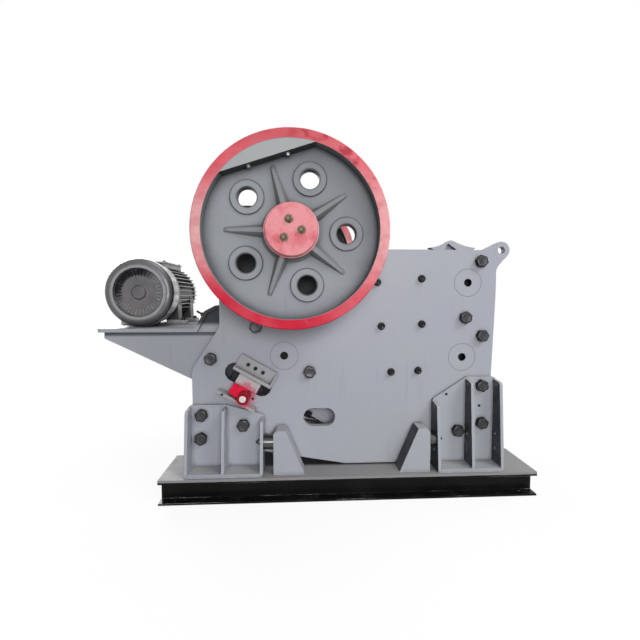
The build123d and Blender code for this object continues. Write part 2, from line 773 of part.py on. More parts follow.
def spring_start():
    """Distance along the tension rod at which its spring begins."""
    return rod_length() - TENSION_NUT_THICK - SPRING_SEAT_THICK - SPRING_LENGTH


def on_rod(t, n):
    """Place in the XZ plane, along the tension rod from its pin and above it."""
    length = rod_length()
    along_x = (TENSION_END[0] - TENSION_PIN[0]) / length
    along_z = (TENSION_END[1] - TENSION_PIN[1]) / length
    return (TENSION_PIN[0] + t * along_x + n * along_z, TENSION_PIN[1] + t * along_z - n * along_x)


def tension_rod():
    """Rod that draws the swing jaw on to the toggle plate, with its eye, spring seat, nut and spring."""
    length = rod_length()
    seat = spring_start() + SPRING_LENGTH
    nut = seat + SPRING_SEAT_THICK
    turned = [
        (0, 0),
        (TENSION_ROD_R, 0),
        (TENSION_ROD_R, seat),
        (SPRING_R, seat),
        (SPRING_R, nut),
        (TENSION_NUT_R, nut),
        (TENSION_NUT_R, length),
        (0, length),
    ]
    rod = rod_plane() * revolve(Plane.XZ * flat(turned), Axis.Z)
    rod += disc(*TENSION_PIN, TENSION_EYE_R, (-TENSION_EYE_HALF, TENSION_EYE_HALF))
    rod -= disc(*TENSION_PIN, TENSION_PIN_R + FIT_GAP, (-TENSION_EYE_HALF, TENSION_EYE_HALF))
    save("tension_rod", rod)
    coil = [
        (SPRING_BORE_R, spring_start()),
        (SPRING_R, spring_start()),
        (SPRING_R, seat),
        (SPRING_BORE_R, seat),
    ]
    save("tension_spring", rod_plane() * revolve(Plane.XZ * flat(coil), Axis.Z))


def rear_frame():
    """Cast beam across the rear, holding the setting wedge, with pockets in its top."""
    low, shoulder, top = rear_faces()
    seat = -WEDGE_HALF_LENGTH
    roof = SLOT_R + FIT_GAP
    pin_x, pin_z = PIN_PLACES[2]
    crest = (pin_x - REAR_NOSE, REAR_TOP_Z)
    brow = (pin_x, REAR_TOP_Z)
    nose = (pin_x + REAR_NOSE, pin_z)
    outline = flat(
        [
            low,
            shoulder,
            top,
            crest,
            brow,
            nose,
            (nose[0], pin_z - REAR_NOSE_DROP),
            (pin_x + PIN_R, pin_z - REAR_CHIN_DROP),
            on_slot(WEDGE_HALF_LENGTH, roof),
            on_slot(seat, roof),
            on_slot(seat, -REAR_SEAT_DROP),
        ]
    )
    beam = prism(rounded(outline, [brow, nose], REAR_ROUND), (-SIDE_INNER_Y, SIDE_INNER_Y))
    bay = (2 * SIDE_INNER_Y - REAR_WALL) / REAR_POCKETS
    pocket_x = (crest[0] + REAR_WALL, brow[0] - REAR_WALL)
    for i in range(REAR_POCKETS):
        start = -SIDE_INNER_Y + REAR_WALL + i * bay
        pocket_y = (start, start + bay - REAR_WALL)
        beam -= block(pocket_x, pocket_y, (REAR_TOP_Z - REAR_POCKET_DEPTH, REAR_TOP_Z))
    reach = spring_start()
    lug = [
        on_rod(reach - SPRING_LUG_THICK, -SPRING_R),
        on_rod(reach, -SPRING_R),
        on_rod(reach, SPRING_LUG_RISE),
        on_rod(reach - SPRING_LUG_THICK, SPRING_LUG_RISE),
    ]
    beam += panel(lug, (-SPRING_LUG_HALF, SPRING_LUG_HALF))
    up_to = (Align.CENTER, Align.CENTER, Align.MAX)
    bore = Cylinder(TENSION_ROD_R + ROD_HOLE_GAP, SPRING_LUG_THICK, align=up_to)
    beam -= rod_plane() * Pos(0, 0, reach) * bore
    save("rear_frame", beam)


def setting():
    """Setting wedge through the slot, its guides and cylinders, and the toggle plate."""
    half = WEDGE_HALF_LENGTH
    height = WEDGE_HALF_HEIGHT
    wedge = slot_block((-half, half), (-height, height), (-JAW_HALF_WIDTH, JAW_HALF_WIDTH))
    wedge += slot_block(WEDGE_NOSE_S, (-height, WEDGE_NOSE_TOP), (-WEDGE_OUTER_Y, WEDGE_OUTER_Y))
    save("setting_wedge", wedge)
    face = SIDE_OUTER_Y
    span = (-GUIDE_LENGTH / 2, GUIDE_LENGTH / 2)
    high_span = (span[0] + GUIDE_SHIFT, span[1] + GUIDE_SHIFT)
    upper = slot_block(high_span, (GUIDE_DROP, GUIDE_DROP + GUIDE_HEIGHT), near((face, face + GUIDE_THICK)))
    flange = (GUIDE_DROP, GUIDE_DROP + GUIDE_FLANGE_THICK)
    upper += slot_block(high_span, flange, near((face, face + GUIDE_THICK + GUIDE_FLANGE)))
    save_pair("upper_guide", upper)
    low = -LOWER_GUIDE_DROP
    lower = slot_block(span, (low - LOWER_GUIDE_HEIGHT, low), near((face, face + GUIDE_THICK)))
    low_flange = (low - GUIDE_FLANGE_THICK, low)
    lower += slot_block(span, low_flange, near((face, face + GUIDE_THICK + GUIDE_FLANGE)))
    save_pair("lower_guide", lower)
    block_s = (CYLINDER_S - CYLINDER_BLOCK_LENGTH, CYLINDER_S)
    block_t = (-height - CYLINDER_BLOCK_HEIGHT, -height)
    cylinder = slot_block(block_s, block_t, near((face, face + GUIDE_FLANGE)))
    place = on_slot(CYLINDER_S, CYLINDER_T)
    cylinder += disc(*place, CYLINDER_R, near((face, CYLINDER_OUTER_Y)))
    save_pair("setting_cylinder", cylinder)
    save_pair("setting_rod", disc(*place, ROD_R, near((CYLINDER_OUTER_Y, ROD_OUTER_Y))))
    width = (-TOGGLE_HALF_WIDTH, TOGGLE_HALF_WIDTH)
    thin = (-TOGGLE_THICK / 2, TOGGLE_THICK / 2)
    thick = (-TOGGLE_END_THICK / 2, TOGGLE_END_THICK / 2)
    plate = slot_block((half, TOGGLE_END_S), thin, width)
    plate += slot_block((TOGGLE_END_S, TOGGLE_SEAT_S), thick, width)
    save("toggle_plate", plate)


def swing_jaw():
    """Swing jaw casting around the eccentric, ribbed behind, down to the toggle seat, and its clamp."""
    def back_of(z, depth=JAW_THICK):
        return behind_jaw(SWING_FACE_TOP_X, SWING_FACE_BOTTOM_X, -1, depth, z)

    seat_low = on_slot(TOGGLE_SEAT_S, -SEAT_HALF)
    seat_high = on_slot(TOGGLE_SEAT_S, SEAT_HALF)
    back = (JAW_BACK_X, JAW_BACK_Z)
    foot = (JAW_FOOT_X, JAW_FOOT_Z)
    outline = flat(
        [
            (back_of(JAW_TOP_Z), JAW_TOP_Z),
            (back_of(JAW_BOTTOM_Z), JAW_BOTTOM_Z),
            foot,
            seat_low,
            seat_high,
            back,
            (JAW_CREST_X, JAW_CREST_Z),
        ]
    )
    outline += Pos(SHAFT_X, SHAFT_Z) * Circle(HEAD_R)
    outline -= Pos(SHAFT_X, SHAFT_Z) * Circle(HEAD_BORE_R)
    jaw = prism(outline, (-JAW_HALF_WIDTH, JAW_HALF_WIDTH))
    wall = JAW_THICK + JAW_WALL
    pocket = [
        (back_of(JAW_POCKET_BOTTOM_Z, wall), JAW_POCKET_BOTTOM_Z),
        (back_of(JAW_POCKET_TOP_Z, wall), JAW_POCKET_TOP_Z),
        (JAW_BACK_X, JAW_POCKET_TOP_Z),
        (JAW_BACK_X, JAW_POCKET_BOTTOM_Z),
    ]
    bay = (2 * JAW_HALF_WIDTH - JAW_WALL) / JAW_POCKETS
    for i in range(JAW_POCKETS):
        start = -JAW_HALF_WIDTH + JAW_WALL + i * bay
        jaw -= panel(pocket, (start, start + bay - JAW_WALL))
    pin_x, pin_z = TENSION_PIN
    ear_x = (pin_x - TENSION_EYE_R, pin_x + TENSION_EYE_R)
    ear = block(ear_x, (0, CLEVIS_THICK), (pin_z, JAW_FOOT_Z + CLEVIS_THICK))
    ear += disc(pin_x, pin_z, TENSION_EYE_R, (0, CLEVIS_THICK))
    inside = TENSION_EYE_HALF + FIT_GAP
    jaw += Pos(0, inside, 0) * ear + Pos(0, -inside - CLEVIS_THICK, 0) * ear
    jaw += disc(pin_x, pin_z, TENSION_PIN_R, (-inside, inside))
    save("swing_jaw", jaw)
    jaw_clamp()


def jaw_clamp():
    """Bar held down over the top end of the swing jaw's wear plate."""
    up_x, up_z, length = jaw_line(SWING_FACE_TOP_X, SWING_FACE_BOTTOM_X)
    seat = Plane((SWING_FACE_TOP_X, 0, JAW_TOP_Z), x_dir=(-up_z, 0, up_x), z_dir=(0, 1, 0))
    depth = JAW_THICK - TOOTH_HEIGHT
    section = Pos(TOOTH_HEIGHT, 0) * Rectangle(depth, CLAMP_THICK, align=(Align.MIN, Align.MIN))
    section = rounded(section, [(TOOTH_HEIGHT, CLAMP_THICK)], CLAMP_CHAMFER)
    save("jaw_clamp", extrude(seat * section, amount=CLAMP_HALF_WIDTH, both=True))


def bracket(gussets, hole_levels):
    """Welded bracket on a side plate: back plate, foot and three gussets, some drilled."""
    half = BRACKET_PLATE / 2
    ends = (gussets[0][0] - half, gussets[-1][0] + half)
    crest = [(ends[0], gussets[0][1]), gussets[1], (ends[1], gussets[-1][1])]
    back = flat([(ends[1], BASE_TOP), *reversed(crest), (ends[0], BASE_TOP)])
    back = rounded(back, [crest[0], crest[-1]], BRACKET_ROUND)
    piece = prism(back, near((SIDE_OUTER_Y, BRACKET_FACE_Y)))
    piece += block(ends, near((SIDE_OUTER_Y, BRACKET_FOOT_Y)), (BASE_TOP, BRACKET_FLOOR))
    for x, top in gussets:
        shoulder = (-GUSSET_TOP_Y, top - GUSSET_TOP_DROP)
        outline = flat(
            [
                (-SIDE_OUTER_Y - half, BASE_TOP + half),
                (-BRACKET_FOOT_Y, BASE_TOP + half),
                shoulder,
                (-SIDE_OUTER_Y - half, top - BRACKET_ROUND / 2),
            ]
        )
        outline = rounded(outline, [shoulder], BRACKET_ROUND)
        for level in hole_levels:
            outline -= Pos(-GUSSET_HOLE_Y, level) * Circle(GUSSET_HOLE_R)
        if hole_levels:
            outline -= Pos(-GUSSET_HOLE_Y, top - GUSSET_HOLE_DROP) * Circle(GUSSET_HOLE_R)
        piece += extrude(Plane.YZ.offset(x - half) * outline, amount=BRACKET_PLATE)
    return piece


def stop_block(x, towards):
    """Block on the base whose upright face looks towards its bracket."""
    top = BASE_TOP + STOP_HEIGHT
    points = [
        (x, BASE_TOP),
        (x, top - STOP_CHAMFER),
        (x - towards * STOP_CHAMFER, top),
        (x - towards * STOP_TOP, top),
        (x - towards * STOP_FOOT, BASE_TOP),
    ]
    return panel(points, near((STOP_INNER_Y, STOP_OUTER_Y)))


def buffer(x_span):
    """Rubber buffer lying along X."""
    length = x_span[1] - x_span[0]
    return Pos((x_span[0] + x_span[1]) / 2, -BUFFER_Y, BUFFER_Z) * Rot(0, 90, 0) * Cylinder(BUFFER_R, length)


def supports():
    """Brackets on the base, with stop blocks and buffers between them."""
    save_pair("rear_bracket", bracket(REAR_GUSSETS, ()))
    save_pair("front_bracket", bracket(FRONT_GUSSETS, GUSSET_HOLE_LEVELS))
    save_pair("stop_blocks", Compound([stop_block(REAR_STOP_X, -1), stop_block(FRONT_STOP_X, 1)]))
    rear_face = REAR_GUSSETS[-1][0] + BRACKET_PLATE / 2
    front_face = FRONT_GUSSETS[0][0] - BRACKET_PLATE / 2
    save_pair("buffers", Compound([buffer((rear_face, REAR_STOP_X)), buffer((FRONT_STOP_X, front_face))]))


def motor_bracket():
    """Plate under the motor and the two webs that carry it."""
    underside = MOTOR_PLATE_TOP - MOTOR_PLATE_THICK
    length = MOTOR_PLATE_FRONT_X - MOTOR_PLATE_REAR_X
    width = MOTOR_PLATE_FAR_Y - MOTOR_PLATE_NEAR_Y
    outline = Rectangle(length, width, align=(Align.MIN, Align.MIN))
    outline = rounded(outline, [(0, 0), (0, width)], MOTOR_PLATE_ROUND)
    corner = Pos(MOTOR_PLATE_REAR_X, MOTOR_PLATE_NEAR_Y, underside)
    plate = corner * extrude(outline, amount=MOTOR_PLATE_THICK)
    low, shoulder, top = rear_faces()
    heel = (MOTOR_PLATE_REAR_X + MOTOR_WEB_REAR, underside - MOTOR_WEB_REAR)
    ear_z = MOTOR_PLATE_TOP + MOTOR_EAR_RISE
    foot = (MOTOR_PLATE_FRONT_X, underside)
    root = (MOTOR_PLATE_FRONT_X - MOTOR_PLATE_THICK, underside)
    knee = (MOTOR_PLATE_FRONT_X + MOTOR_EAR_KNEE_RUN, MOTOR_PLATE_TOP + MOTOR_EAR_KNEE_RISE)
    crown = (MOTOR_PLATE_FRONT_X + MOTOR_EAR_RUN, ear_z)
    bend = strip([root, foot, knee, crown], MOTOR_PLATE_THICK)
    bend = prism(bend, (-MOTOR_BEND_HALF_Y, MOTOR_BEND_HALF_Y))
    save("motor_plate", plate + bend)
    web = [
        (heel[0], underside),
        heel,
        (low[0], heel[1] - MOTOR_WEB_SLOPE * (low[0] - heel[0])),
        shoulder,
        top,
        (top[0], ear_z),
        crown,
        knee,
        foot,
    ]
    save_pair("motor_web", panel(web, near((MOTOR_WEB_Y - MOTOR_WEB_THICK, MOTOR_WEB_Y))))


def fan_cover(end_y):
    """Pressed fan cover: rounded bell, stepped skirt and a recessed grille with a boss."""
    face = FAN_COVER_Y
    wall = FAN_COVER_WALL
    grille = face + FAN_EYE_DEPTH
    step_y = face + FAN_BELL_LENGTH
    skirt_r = FAN_COVER_R - FAN_SKIRT_STEP
    section = flat(
        [
            (0, grille - FAN_BOSS_HEIGHT),
            (FAN_BOSS_R, grille - FAN_BOSS_HEIGHT),
            (FAN_BOSS_R + FAN_BOSS_HEIGHT, grille),
            (FAN_EYE_R, grille),
            (FAN_EYE_R, face),
            (FAN_COVER_R, face),
            (FAN_COVER_R, step_y),
            (skirt_r, step_y),
            (skirt_r, end_y),
            (skirt_r - wall, end_y),
            (skirt_r - wall, face + wall),
            (FAN_EYE_R + wall, face + wall),
            (FAN_EYE_R + wall, grille + wall),
            (0, grille + wall),
        ]
    )
    section = rounded(section, [(FAN_COVER_R, face)], FAN_ROUND)
    section = rounded(section, [(skirt_r - wall, face + wall)], FAN_ROUND - wall)
    cover = revolve(Plane.XY * section, Axis.Y)
    slot = block(
        (FAN_SLOT_INNER_R, FAN_SLOT_OUTER_R),
        (grille, grille + wall),
        (-FAN_SLOT_WIDTH / 2, FAN_SLOT_WIDTH / 2),
    )
    cover -= [Rot(0, i * 360 / FAN_SLOTS, 0) * slot for i in range(FAN_SLOTS)]
    return Pos(MOTOR_X, 0, MOTOR_Z) * cover


def motor_foot(side, start):
    """Cast foot with a leg that slopes up to the barrel."""
    outer = MOTOR_FOOT_SPAN / 2 + MOTOR_FOOT_WIDTH / 2
    inner = MOTOR_FOOT_SPAN / 2 - MOTOR_FOOT_WIDTH
    foot_top = MOTOR_PLATE_TOP + MOTOR_FOOT_HEIGHT
    knee = MOTOR_FOOT_SPAN / 2
    points = [
        (inner, MOTOR_PLATE_TOP),
        (outer, MOTOR_PLATE_TOP),
        (outer, foot_top),
        (knee, foot_top),
        (MOTOR_BARREL_R, MOTOR_Z),
        (inner, MOTOR_Z),
    ]
    return panel([(MOTOR_X + side * x, z) for x, z in points], (start, start + MOTOR_FOOT_WIDTH))


def motor():
    """Finned motor on feet, with fan cover, terminal box, shaft and pulley."""
    body_start = FAN_COVER_Y + FAN_COVER_LENGTH
    shield = [
        (0, body_start),
        (FAN_COVER_R - FAN_SKIRT_STEP, body_start),
        (FAN_COVER_R - FAN_SKIRT_STEP, body_start + COVER_FLANGE),
        (MOTOR_BARREL_R, body_start + COVER_FLANGE),
        (MOTOR_BARREL_R, MOTOR_BODY_END_Y),
        (MOTOR_SHIELD_R, MOTOR_BODY_END_Y),
        (MOTOR_SHIELD_R, MOTOR_BODY_END_Y + MOTOR_SHIELD_STEP),
        (MOTOR_SHIELD_NOSE_R, MOTOR_SHIELD_END_Y),
        (0, MOTOR_SHIELD_END_Y),
    ]
    axis = Pos(MOTOR_X, 0, MOTOR_Z)
    body = spin(shield, MOTOR_X, MOTOR_Z)
    fin = block((0, MOTOR_FIN_R), (body_start, MOTOR_BODY_END_Y), (-MOTOR_FIN_THICK / 2, MOTOR_FIN_THICK / 2))
    for i in range(MOTOR_FINS):
        body += axis * Rot(0, (i + 0.5) * 360 / MOTOR_FINS, 0) * fin
    for start in MOTOR_FEET_Y:
        body += motor_foot(-1, start) + motor_foot(1, start)
    save("motor_body", body)
    save("motor_fan_cover", fan_cover(body_start))
    lid_z = MOTOR_Z + TERMINAL_TOP - TERMINAL_LID
    terminal_x = (MOTOR_X - TERMINAL_HALF, MOTOR_X + TERMINAL_HALF)
    box_x = (terminal_x[0] + TERMINAL_LID_LIP, terminal_x[1] - TERMINAL_LID_LIP)
    box_y = (TERMINAL_Y[0] + TERMINAL_LID_LIP, TERMINAL_Y[1] - TERMINAL_LID_LIP)
    terminal = block(terminal_x, TERMINAL_Y, (lid_z, MOTOR_Z + TERMINAL_TOP))
    terminal += block(box_x, box_y, (MOTOR_Z + MOTOR_BARREL_R, lid_z))
    save("terminal_box", terminal - disc(MOTOR_X, MOTOR_Z, MOTOR_FIN_R + FIT_GAP, TERMINAL_Y))
    pulley_end = WHEEL_FACE_Y - GROOVE_PITCH / 4
    pulley_start = RIM_INNER_Y + GROOVE_PITCH / 4
    save("motor_shaft", disc(MOTOR_X, MOTOR_Z, MOTOR_SHAFT_R, (MOTOR_SHIELD_END_Y, pulley_end)))
    pulley = [
        (MOTOR_SHAFT_R, pulley_start),
        (PULLEY_R, pulley_start),
        *grooved_edge(PULLEY_R),
        (PULLEY_R, pulley_end),
        (PULLEY_R - PULLEY_RIM, pulley_end),
        (PULLEY_R - PULLEY_RIM, pulley_end - PULLEY_RECESS),
        (PULLEY_HUB_R, pulley_end - PULLEY_RECESS),
        (PULLEY_HUB_R, pulley_end),
        (MOTOR_SHAFT_R, pulley_end),
    ]
    save("motor_pulley", spin(pulley, MOTOR_X, MOTOR_Z))


base()
sides()
rotor()
chamber()
front_frame()
front_lug()
rear_frame()
tension_rod()
setting()
swing_jaw()
supports()
motor_bracket()
motor()
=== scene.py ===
from math import cos, pi, radians, sin

import bpy
from mathutils import Matrix, Vector


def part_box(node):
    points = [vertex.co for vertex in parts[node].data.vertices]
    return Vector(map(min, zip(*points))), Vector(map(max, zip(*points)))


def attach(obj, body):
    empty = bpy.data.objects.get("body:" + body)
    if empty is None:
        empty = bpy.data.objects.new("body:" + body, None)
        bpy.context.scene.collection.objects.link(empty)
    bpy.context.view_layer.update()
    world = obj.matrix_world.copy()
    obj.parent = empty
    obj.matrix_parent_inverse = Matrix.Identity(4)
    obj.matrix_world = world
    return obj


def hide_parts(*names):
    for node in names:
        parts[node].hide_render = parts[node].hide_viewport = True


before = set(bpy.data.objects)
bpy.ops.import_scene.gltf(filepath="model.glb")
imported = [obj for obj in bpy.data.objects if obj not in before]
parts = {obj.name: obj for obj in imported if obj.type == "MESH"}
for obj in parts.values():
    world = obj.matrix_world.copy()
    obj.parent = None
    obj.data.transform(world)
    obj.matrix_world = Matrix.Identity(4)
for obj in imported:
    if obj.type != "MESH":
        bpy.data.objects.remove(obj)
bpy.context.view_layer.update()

# Places on the machine, in metres, X towards the feed end and Z up from the floor
SIDES = (("near", -1), ("far", 1))
SIDE_FACE = 0.630
BRACKET_FACE = 0.655
GUIDE_FACE = 0.656
GUIDE_EDGE = 0.726
STOP_FACE = 0.800
CAP_FACE = 1.078
WHEEL_AXIS = (-0.484, 2.157)
RIM_PAINT_R = 0.6605
BOSS_ANGLES = [radians(72 * i - 1.6) for i in range(5)]
BOSS_CIRCLE_R = 0.418
BOSS_R = 0.125
BOSS_HOLE_R = 0.073
RIB_ANGLES = [radians(72 * i + 34.4) for i in range(5)]
RIB_REACH = (0.195, 0.506)
RIB_FOOT = (0.054, 0.017)
RIB_CREST = (0.0177, 0.012)
RIB_HEIGHT = (0.0617, 0.008)
WEB_FACE = 0.950
WEIGHT_CHORD = 0.546
WEIGHT_ANGLE = radians(108)
WEIGHT_BOLTS = (-0.152, 0.152)
HOUSING_FACE = 0.680
HOUSING_BOLT_R = 0.306
HOUSING_BOLTS = 10
SETTING_AXIS = (-0.8897, 0.8365)
SETTING_RING_R = 0.050
SLOT_CENTRE = (-0.863, 0.964)
SLOT_ANGLE = radians(29.7)
MOTOR_AXIS = (-1.905, 1.710)
FAN_SKIRT_Y = -0.256
FAN_SCREW_Y = -0.098
FAN_SCREW_ANGLES = (45, 135, 225, 315)
FAN_SHADE_ANGLE = radians(128)
FAN_SKIRT_R = 0.3155
FAN_SCREEN_Y = -0.2555
FAN_SCREEN_R = 0.216
FAN_SCREEN_THICK = 0.003
FAN_SCREEN_HEM = (0.008, 0.004)
FOOT_TOP = 1.432
FOOT_BOLT_OUT = 0.284
FOOT_BOLTS_Y = (0.12, 0.56)
LID_TOP = 2.014
LID_SCREW_OUT = 0.150
LID_SCREWS_Y = (-0.020, 0.455)
BASE_TOP = 0.205
BEND_START = 1.400
BASE_HALF = (1.560, 0.860)
BUFFER_HEIGHT = 0.455
BUFFER_OUT = 0.722
PIN_BORES = ((1.033, 1.791), (0.993, 1.143), (-0.557, 1.167))
PIN_BORE_R = 0.032
PIN_R = 0.119

FRAME_BOLTS = (
    (1.141, 1.974), (1.012, 1.490), (1.164, 1.331), (-1.174, 1.146), (-0.793, 1.415), (-0.340, 1.028),
)
CHEEK_BOLTS = (
    (0.241, 1.793), (0.278, 1.416), (0.367, 1.018), (0.625, 1.824), (0.631, 1.433), (0.604, 1.028),
)
BRACKET_BOLTS = (
    (-1.251, 0.673), (-1.259, 0.473), (-0.903, 0.582), (1.159, 0.898), (1.165, 0.567), (0.951, 0.504),
)
BRACKET_SCREWS = ((0.851, 0.824), (1.145, 0.717))
GUIDE_SCREWS = ((-0.062, 0.119), (0.007, 0.119), (0.079, 0.119))
GUIDE_EDGE_SCREW = (-0.127, -0.190)
GUIDE_GUSSET = (0.188, 0.064)
GUIDE_GUSSET_SIZE = (0.064, 0.095, 0.012)
SIDE_SCREW = (-0.826, 0.798)
CAP_BOLT_ANGLES = (102, -3.5, 229)
CAP_BOLT_R = 0.077
GUSSETS = {
    "rear": ((-1.350, 0.756), (-1.053, 0.756), (-0.741, 0.665)),
    "front": ((0.742, 0.780), (1.030, 0.973), (1.278, 0.970)),
}
GUSSET_HALF = 0.0125
STOP_BLOCKS = ((-0.643, -0.387), (0.410, 0.666))
BRACKET_FLOOR = 0.230
BRACKET_FOOT = 0.830
FOOT_BEAD_R = 0.007
GUSSET_BEAD_R = 0.006
GUSSET_BEAD_END = 0.05
JACK_PLACE = (-1.281, 1.511)
JACK_FACING = (-0.870, 0, 0.494)
JACK_OUT = 0.440
FRONT_WALL_FOOT = (0.896, 0.430)
FRONT_WALL_LEAN = 0.1043
JAW_BOLT_ROWS = (0.654, 1.816)
JAW_BOLT_COLUMNS = (-0.360, 0, 0.360)
SPRING_START = (-1.1486, 0, 0.6444)
SPRING_FACING = (-0.9636, 0, 0.2675)
SPRING_LENGTH = 0.112
SPRING_R = 0.060
SPRING_WIRE_R = 0.011
SPRING_TURNS = 3
UPWARD = (0, 0, 1)

CAMERA_PLACE = (-0.422, -3.900, 1.660)
CAMERA_DIP = 3.3
CAMERA_TURN = -3.0
LAMP_AIM = (-0.2, 0, 1.2)
LAMP_SIZE = 4.0
FLOOR_SIZE = 60


def on_slot(along, above):
    """Place in the XZ plane, along the setting slot and above it."""
    x = SLOT_CENTRE[0] + along * cos(SLOT_ANGLE) + above * sin(SLOT_ANGLE)
    z = SLOT_CENTRE[1] - along * sin(SLOT_ANGLE) + above * cos(SLOT_ANGLE)
    return x, z


def about(axis, radius, angle):
    """Place in the XZ plane, round an axis that runs across the machine."""
    return axis[0] + radius * cos(angle), axis[1] + radius * sin(angle)


# Finishes
class Finish:
    """A painted or bare surface, put together from its nodes."""

    def __init__(self, name, specular=0.10):
        self.material = bpy.data.materials.new(name)
        self.material.use_nodes = True
        self.tree = self.material.node_tree
        self.shader = self.tree.nodes["Principled BSDF"]
        self.shader.inputs["Specular IOR Level"].default_value = specular
        self.place = self.node("ShaderNodeTexCoord").outputs["Object"]
        self.normal = self.node("ShaderNodeNewGeometry").outputs["Normal"]
        self.x, self.y, self.z = self.split(self.place)
        self.faces_x, self.faces_y, self.faces_z = self.split(self.normal)

    def node(self, kind, inputs=None, **values):
        """Adds a node with its settings, and feeds its inputs."""
        made = self.tree.nodes.new(kind)
        for name, value in values.items():
            setattr(made, name, value)
        for name, value in (inputs or {}).items():
            self.feed(made.inputs[name], value)
        return made

    def feed(self, socket, value):
        """Links an output to a socket, or writes a plain value on it."""
        if hasattr(value, "is_output"):
            self.tree.links.new(value, socket)
        else:
            socket.default_value = value

    def noise(self, scale, detail, rough=0.55, stretch=None):
        place = self.place
        if stretch:
            place = self.node("ShaderNodeMapping", {"Vector": place, "Scale": stretch}).outputs["Vector"]
        inputs = {"Vector": place, "Scale": scale, "Detail": detail, "Roughness": rough}
        return self.node("ShaderNodeTexNoise", inputs).outputs["Fac"]

    def ramp(self, value, low, high, bottom=0.0, top=1.0):
        inputs = {"Value": value, "From Min": low, "From Max": high, "To Min": bottom, "To Max": top}
        return self.node("ShaderNodeMapRange", inputs, interpolation_type="SMOOTHSTEP").outputs["Result"]

    def patches(self, grain, low, high, bottom=0.0, top=1.0):
        """Uneven patches, from noise of a given grain."""
        return self.ramp(self.noise(*grain), low, high, bottom, top)

    def math(self, kind, first, second=0.0):
        return self.node("ShaderNodeMath", {0: first, 1: second}, operation=kind).outputs["Value"]

    def both(self, first, second):
        return self.math("MULTIPLY", first, second)

    def gap(self, first, second):
        """How far two values lie apart."""
        return self.math("ABSOLUTE", self.math("SUBTRACT", first, second))

    def size(self, value):
        return self.math("ABSOLUTE", value)

    def mix(self, amount, under, over):
        made = self.node("ShaderNodeMix", {"Factor": amount}, data_type="RGBA", clamp_factor=True)
        for name, colour in (("A", under), ("B", over)):
            socket = [s for s in made.inputs if s.name == name and s.type == "RGBA"][0]
            self.feed(socket, colour if hasattr(colour, "is_output") else (*colour, 1))
        return [s for s in made.outputs if s.type == "RGBA"][0]

    def split(self, vector):
        made = self.node("ShaderNodeSeparateXYZ", {"Vector": vector})
        return made.outputs["X"], made.outputs["Y"], made.outputs["Z"]

    def radius_from(self, centre):
        """Distance from an axis that runs across the machine."""
        across = self.math("SUBTRACT", self.x, centre[0])
        up = self.math("SUBTRACT", self.z, centre[1])
        return self.math("SQRT", self.math("ADD", self.both(across, across), self.both(up, up)))

    def reach_along(self, centre, angle):
        """Distance from an axis across the machine, counted along one direction only."""
        across = self.both(self.math("SUBTRACT", self.x, centre[0]), cos(angle))
        up = self.both(self.math("SUBTRACT", self.z, centre[1]), sin(angle))
        return self.math("ADD", across, up)

    def crevice(self, distance):
        """One in inner corners, nought on open faces."""
        made = self.node("ShaderNodeAmbientOcclusion", {"Distance": distance}, samples=6)
        return self.ramp(made.outputs["AO"], 0.35, 0.85, 1.0, 0.0)

    def dirt_and_shade(self, tone, distance, amount, colour):
        """Lays a dark colour in the inner corners, as dirt and as painted shade."""
        return self.mix(self.both(self.crevice(distance), amount), tone, colour)

    def edge(self, radius):
        """One along outer edges, nought elsewhere; it marks worn paint, and painted highlights on the beams.
        """
        made = self.node("ShaderNodeBevel", {"Radius": radius}, samples=4)
        normals = {0: made.outputs["Normal"], 1: self.normal}
        turn = self.node("ShaderNodeVectorMath", normals, operation="DOT_PRODUCT")
        return self.ramp(turn.outputs["Value"], 0.80, 0.99, 1.0, 0.0)

    def bump(self, heights, soften=None):
        """Adds height patterns, each with its strength and depth in metres."""
        made = None
        if soften:
            made = self.node("ShaderNodeBevel", {"Radius": soften}, samples=4).outputs["Normal"]
        for height, strength, depth in heights:
            step = self.node("ShaderNodeBump", {"Strength": strength, "Distance": depth, "Height": height})
            if made:
                self.feed(step.inputs["Normal"], made)
            made = step.outputs["Normal"]
        self.feed(self.shader.inputs["Normal"], made)

    def set(self, **values):
        for name, value in values.items():
            socket = self.shader.inputs[name.replace("_", " ").title()]
            self.feed(socket, value if not isinstance(value, tuple) else (*value, 1))


# Colour of the painted shade in and behind the setting slots
SLOT_SHADE = (0.022, 0.022, 0.034)


def shaded(colour, red, green, blue):
    return (colour[0] * red, colour[1] * green, colour[2] * blue)


def weathered(finish, colour, dirt_and_shade, crevice, chips, dust):
    """Paint with broad tone changes, dust on ledges, dirt and painted shade in corners, and worn edges."""
    broad = finish.patches((0.9, 3), 0.36, 0.64)
    tone = finish.mix(broad, shaded(colour, 0.98, 0.965, 1.02), shaded(colour, 0.99, 1.0, 0.98))
    tone = finish.mix(finish.patches((5.5, 5), 0.40, 0.72, 0.0, 0.45), tone, colour)
    fine = finish.patches((95, 3), 0.35, 0.75, 0.0, 0.16)
    tone = finish.mix(fine, tone, shaded(colour, 0.72, 0.72, 0.72))
    ledge = finish.ramp(finish.faces_z, 0.55, 0.95)
    ledge = finish.both(ledge, finish.patches((7, 5), 0.30, 0.65, 0.20, 0.80))
    tone = finish.mix(ledge, tone, dust)
    streaks = finish.patches((3.2, 5, 0.6, (6, 6, 0.5)), 0.58, 0.80, 0.0, 0.16)
    tone = finish.mix(streaks, tone, dirt_and_shade)
    tone = finish.dirt_and_shade(tone, crevice, 0.60, dirt_and_shade)
    worn_and_lit_edge = finish.both(finish.edge(0.004), finish.patches((26, 5), 0.46, 0.62, 0.10, chips))
    return finish.mix(worn_and_lit_edge, tone, shaded(colour, 1.5, 1.47, 1.4))


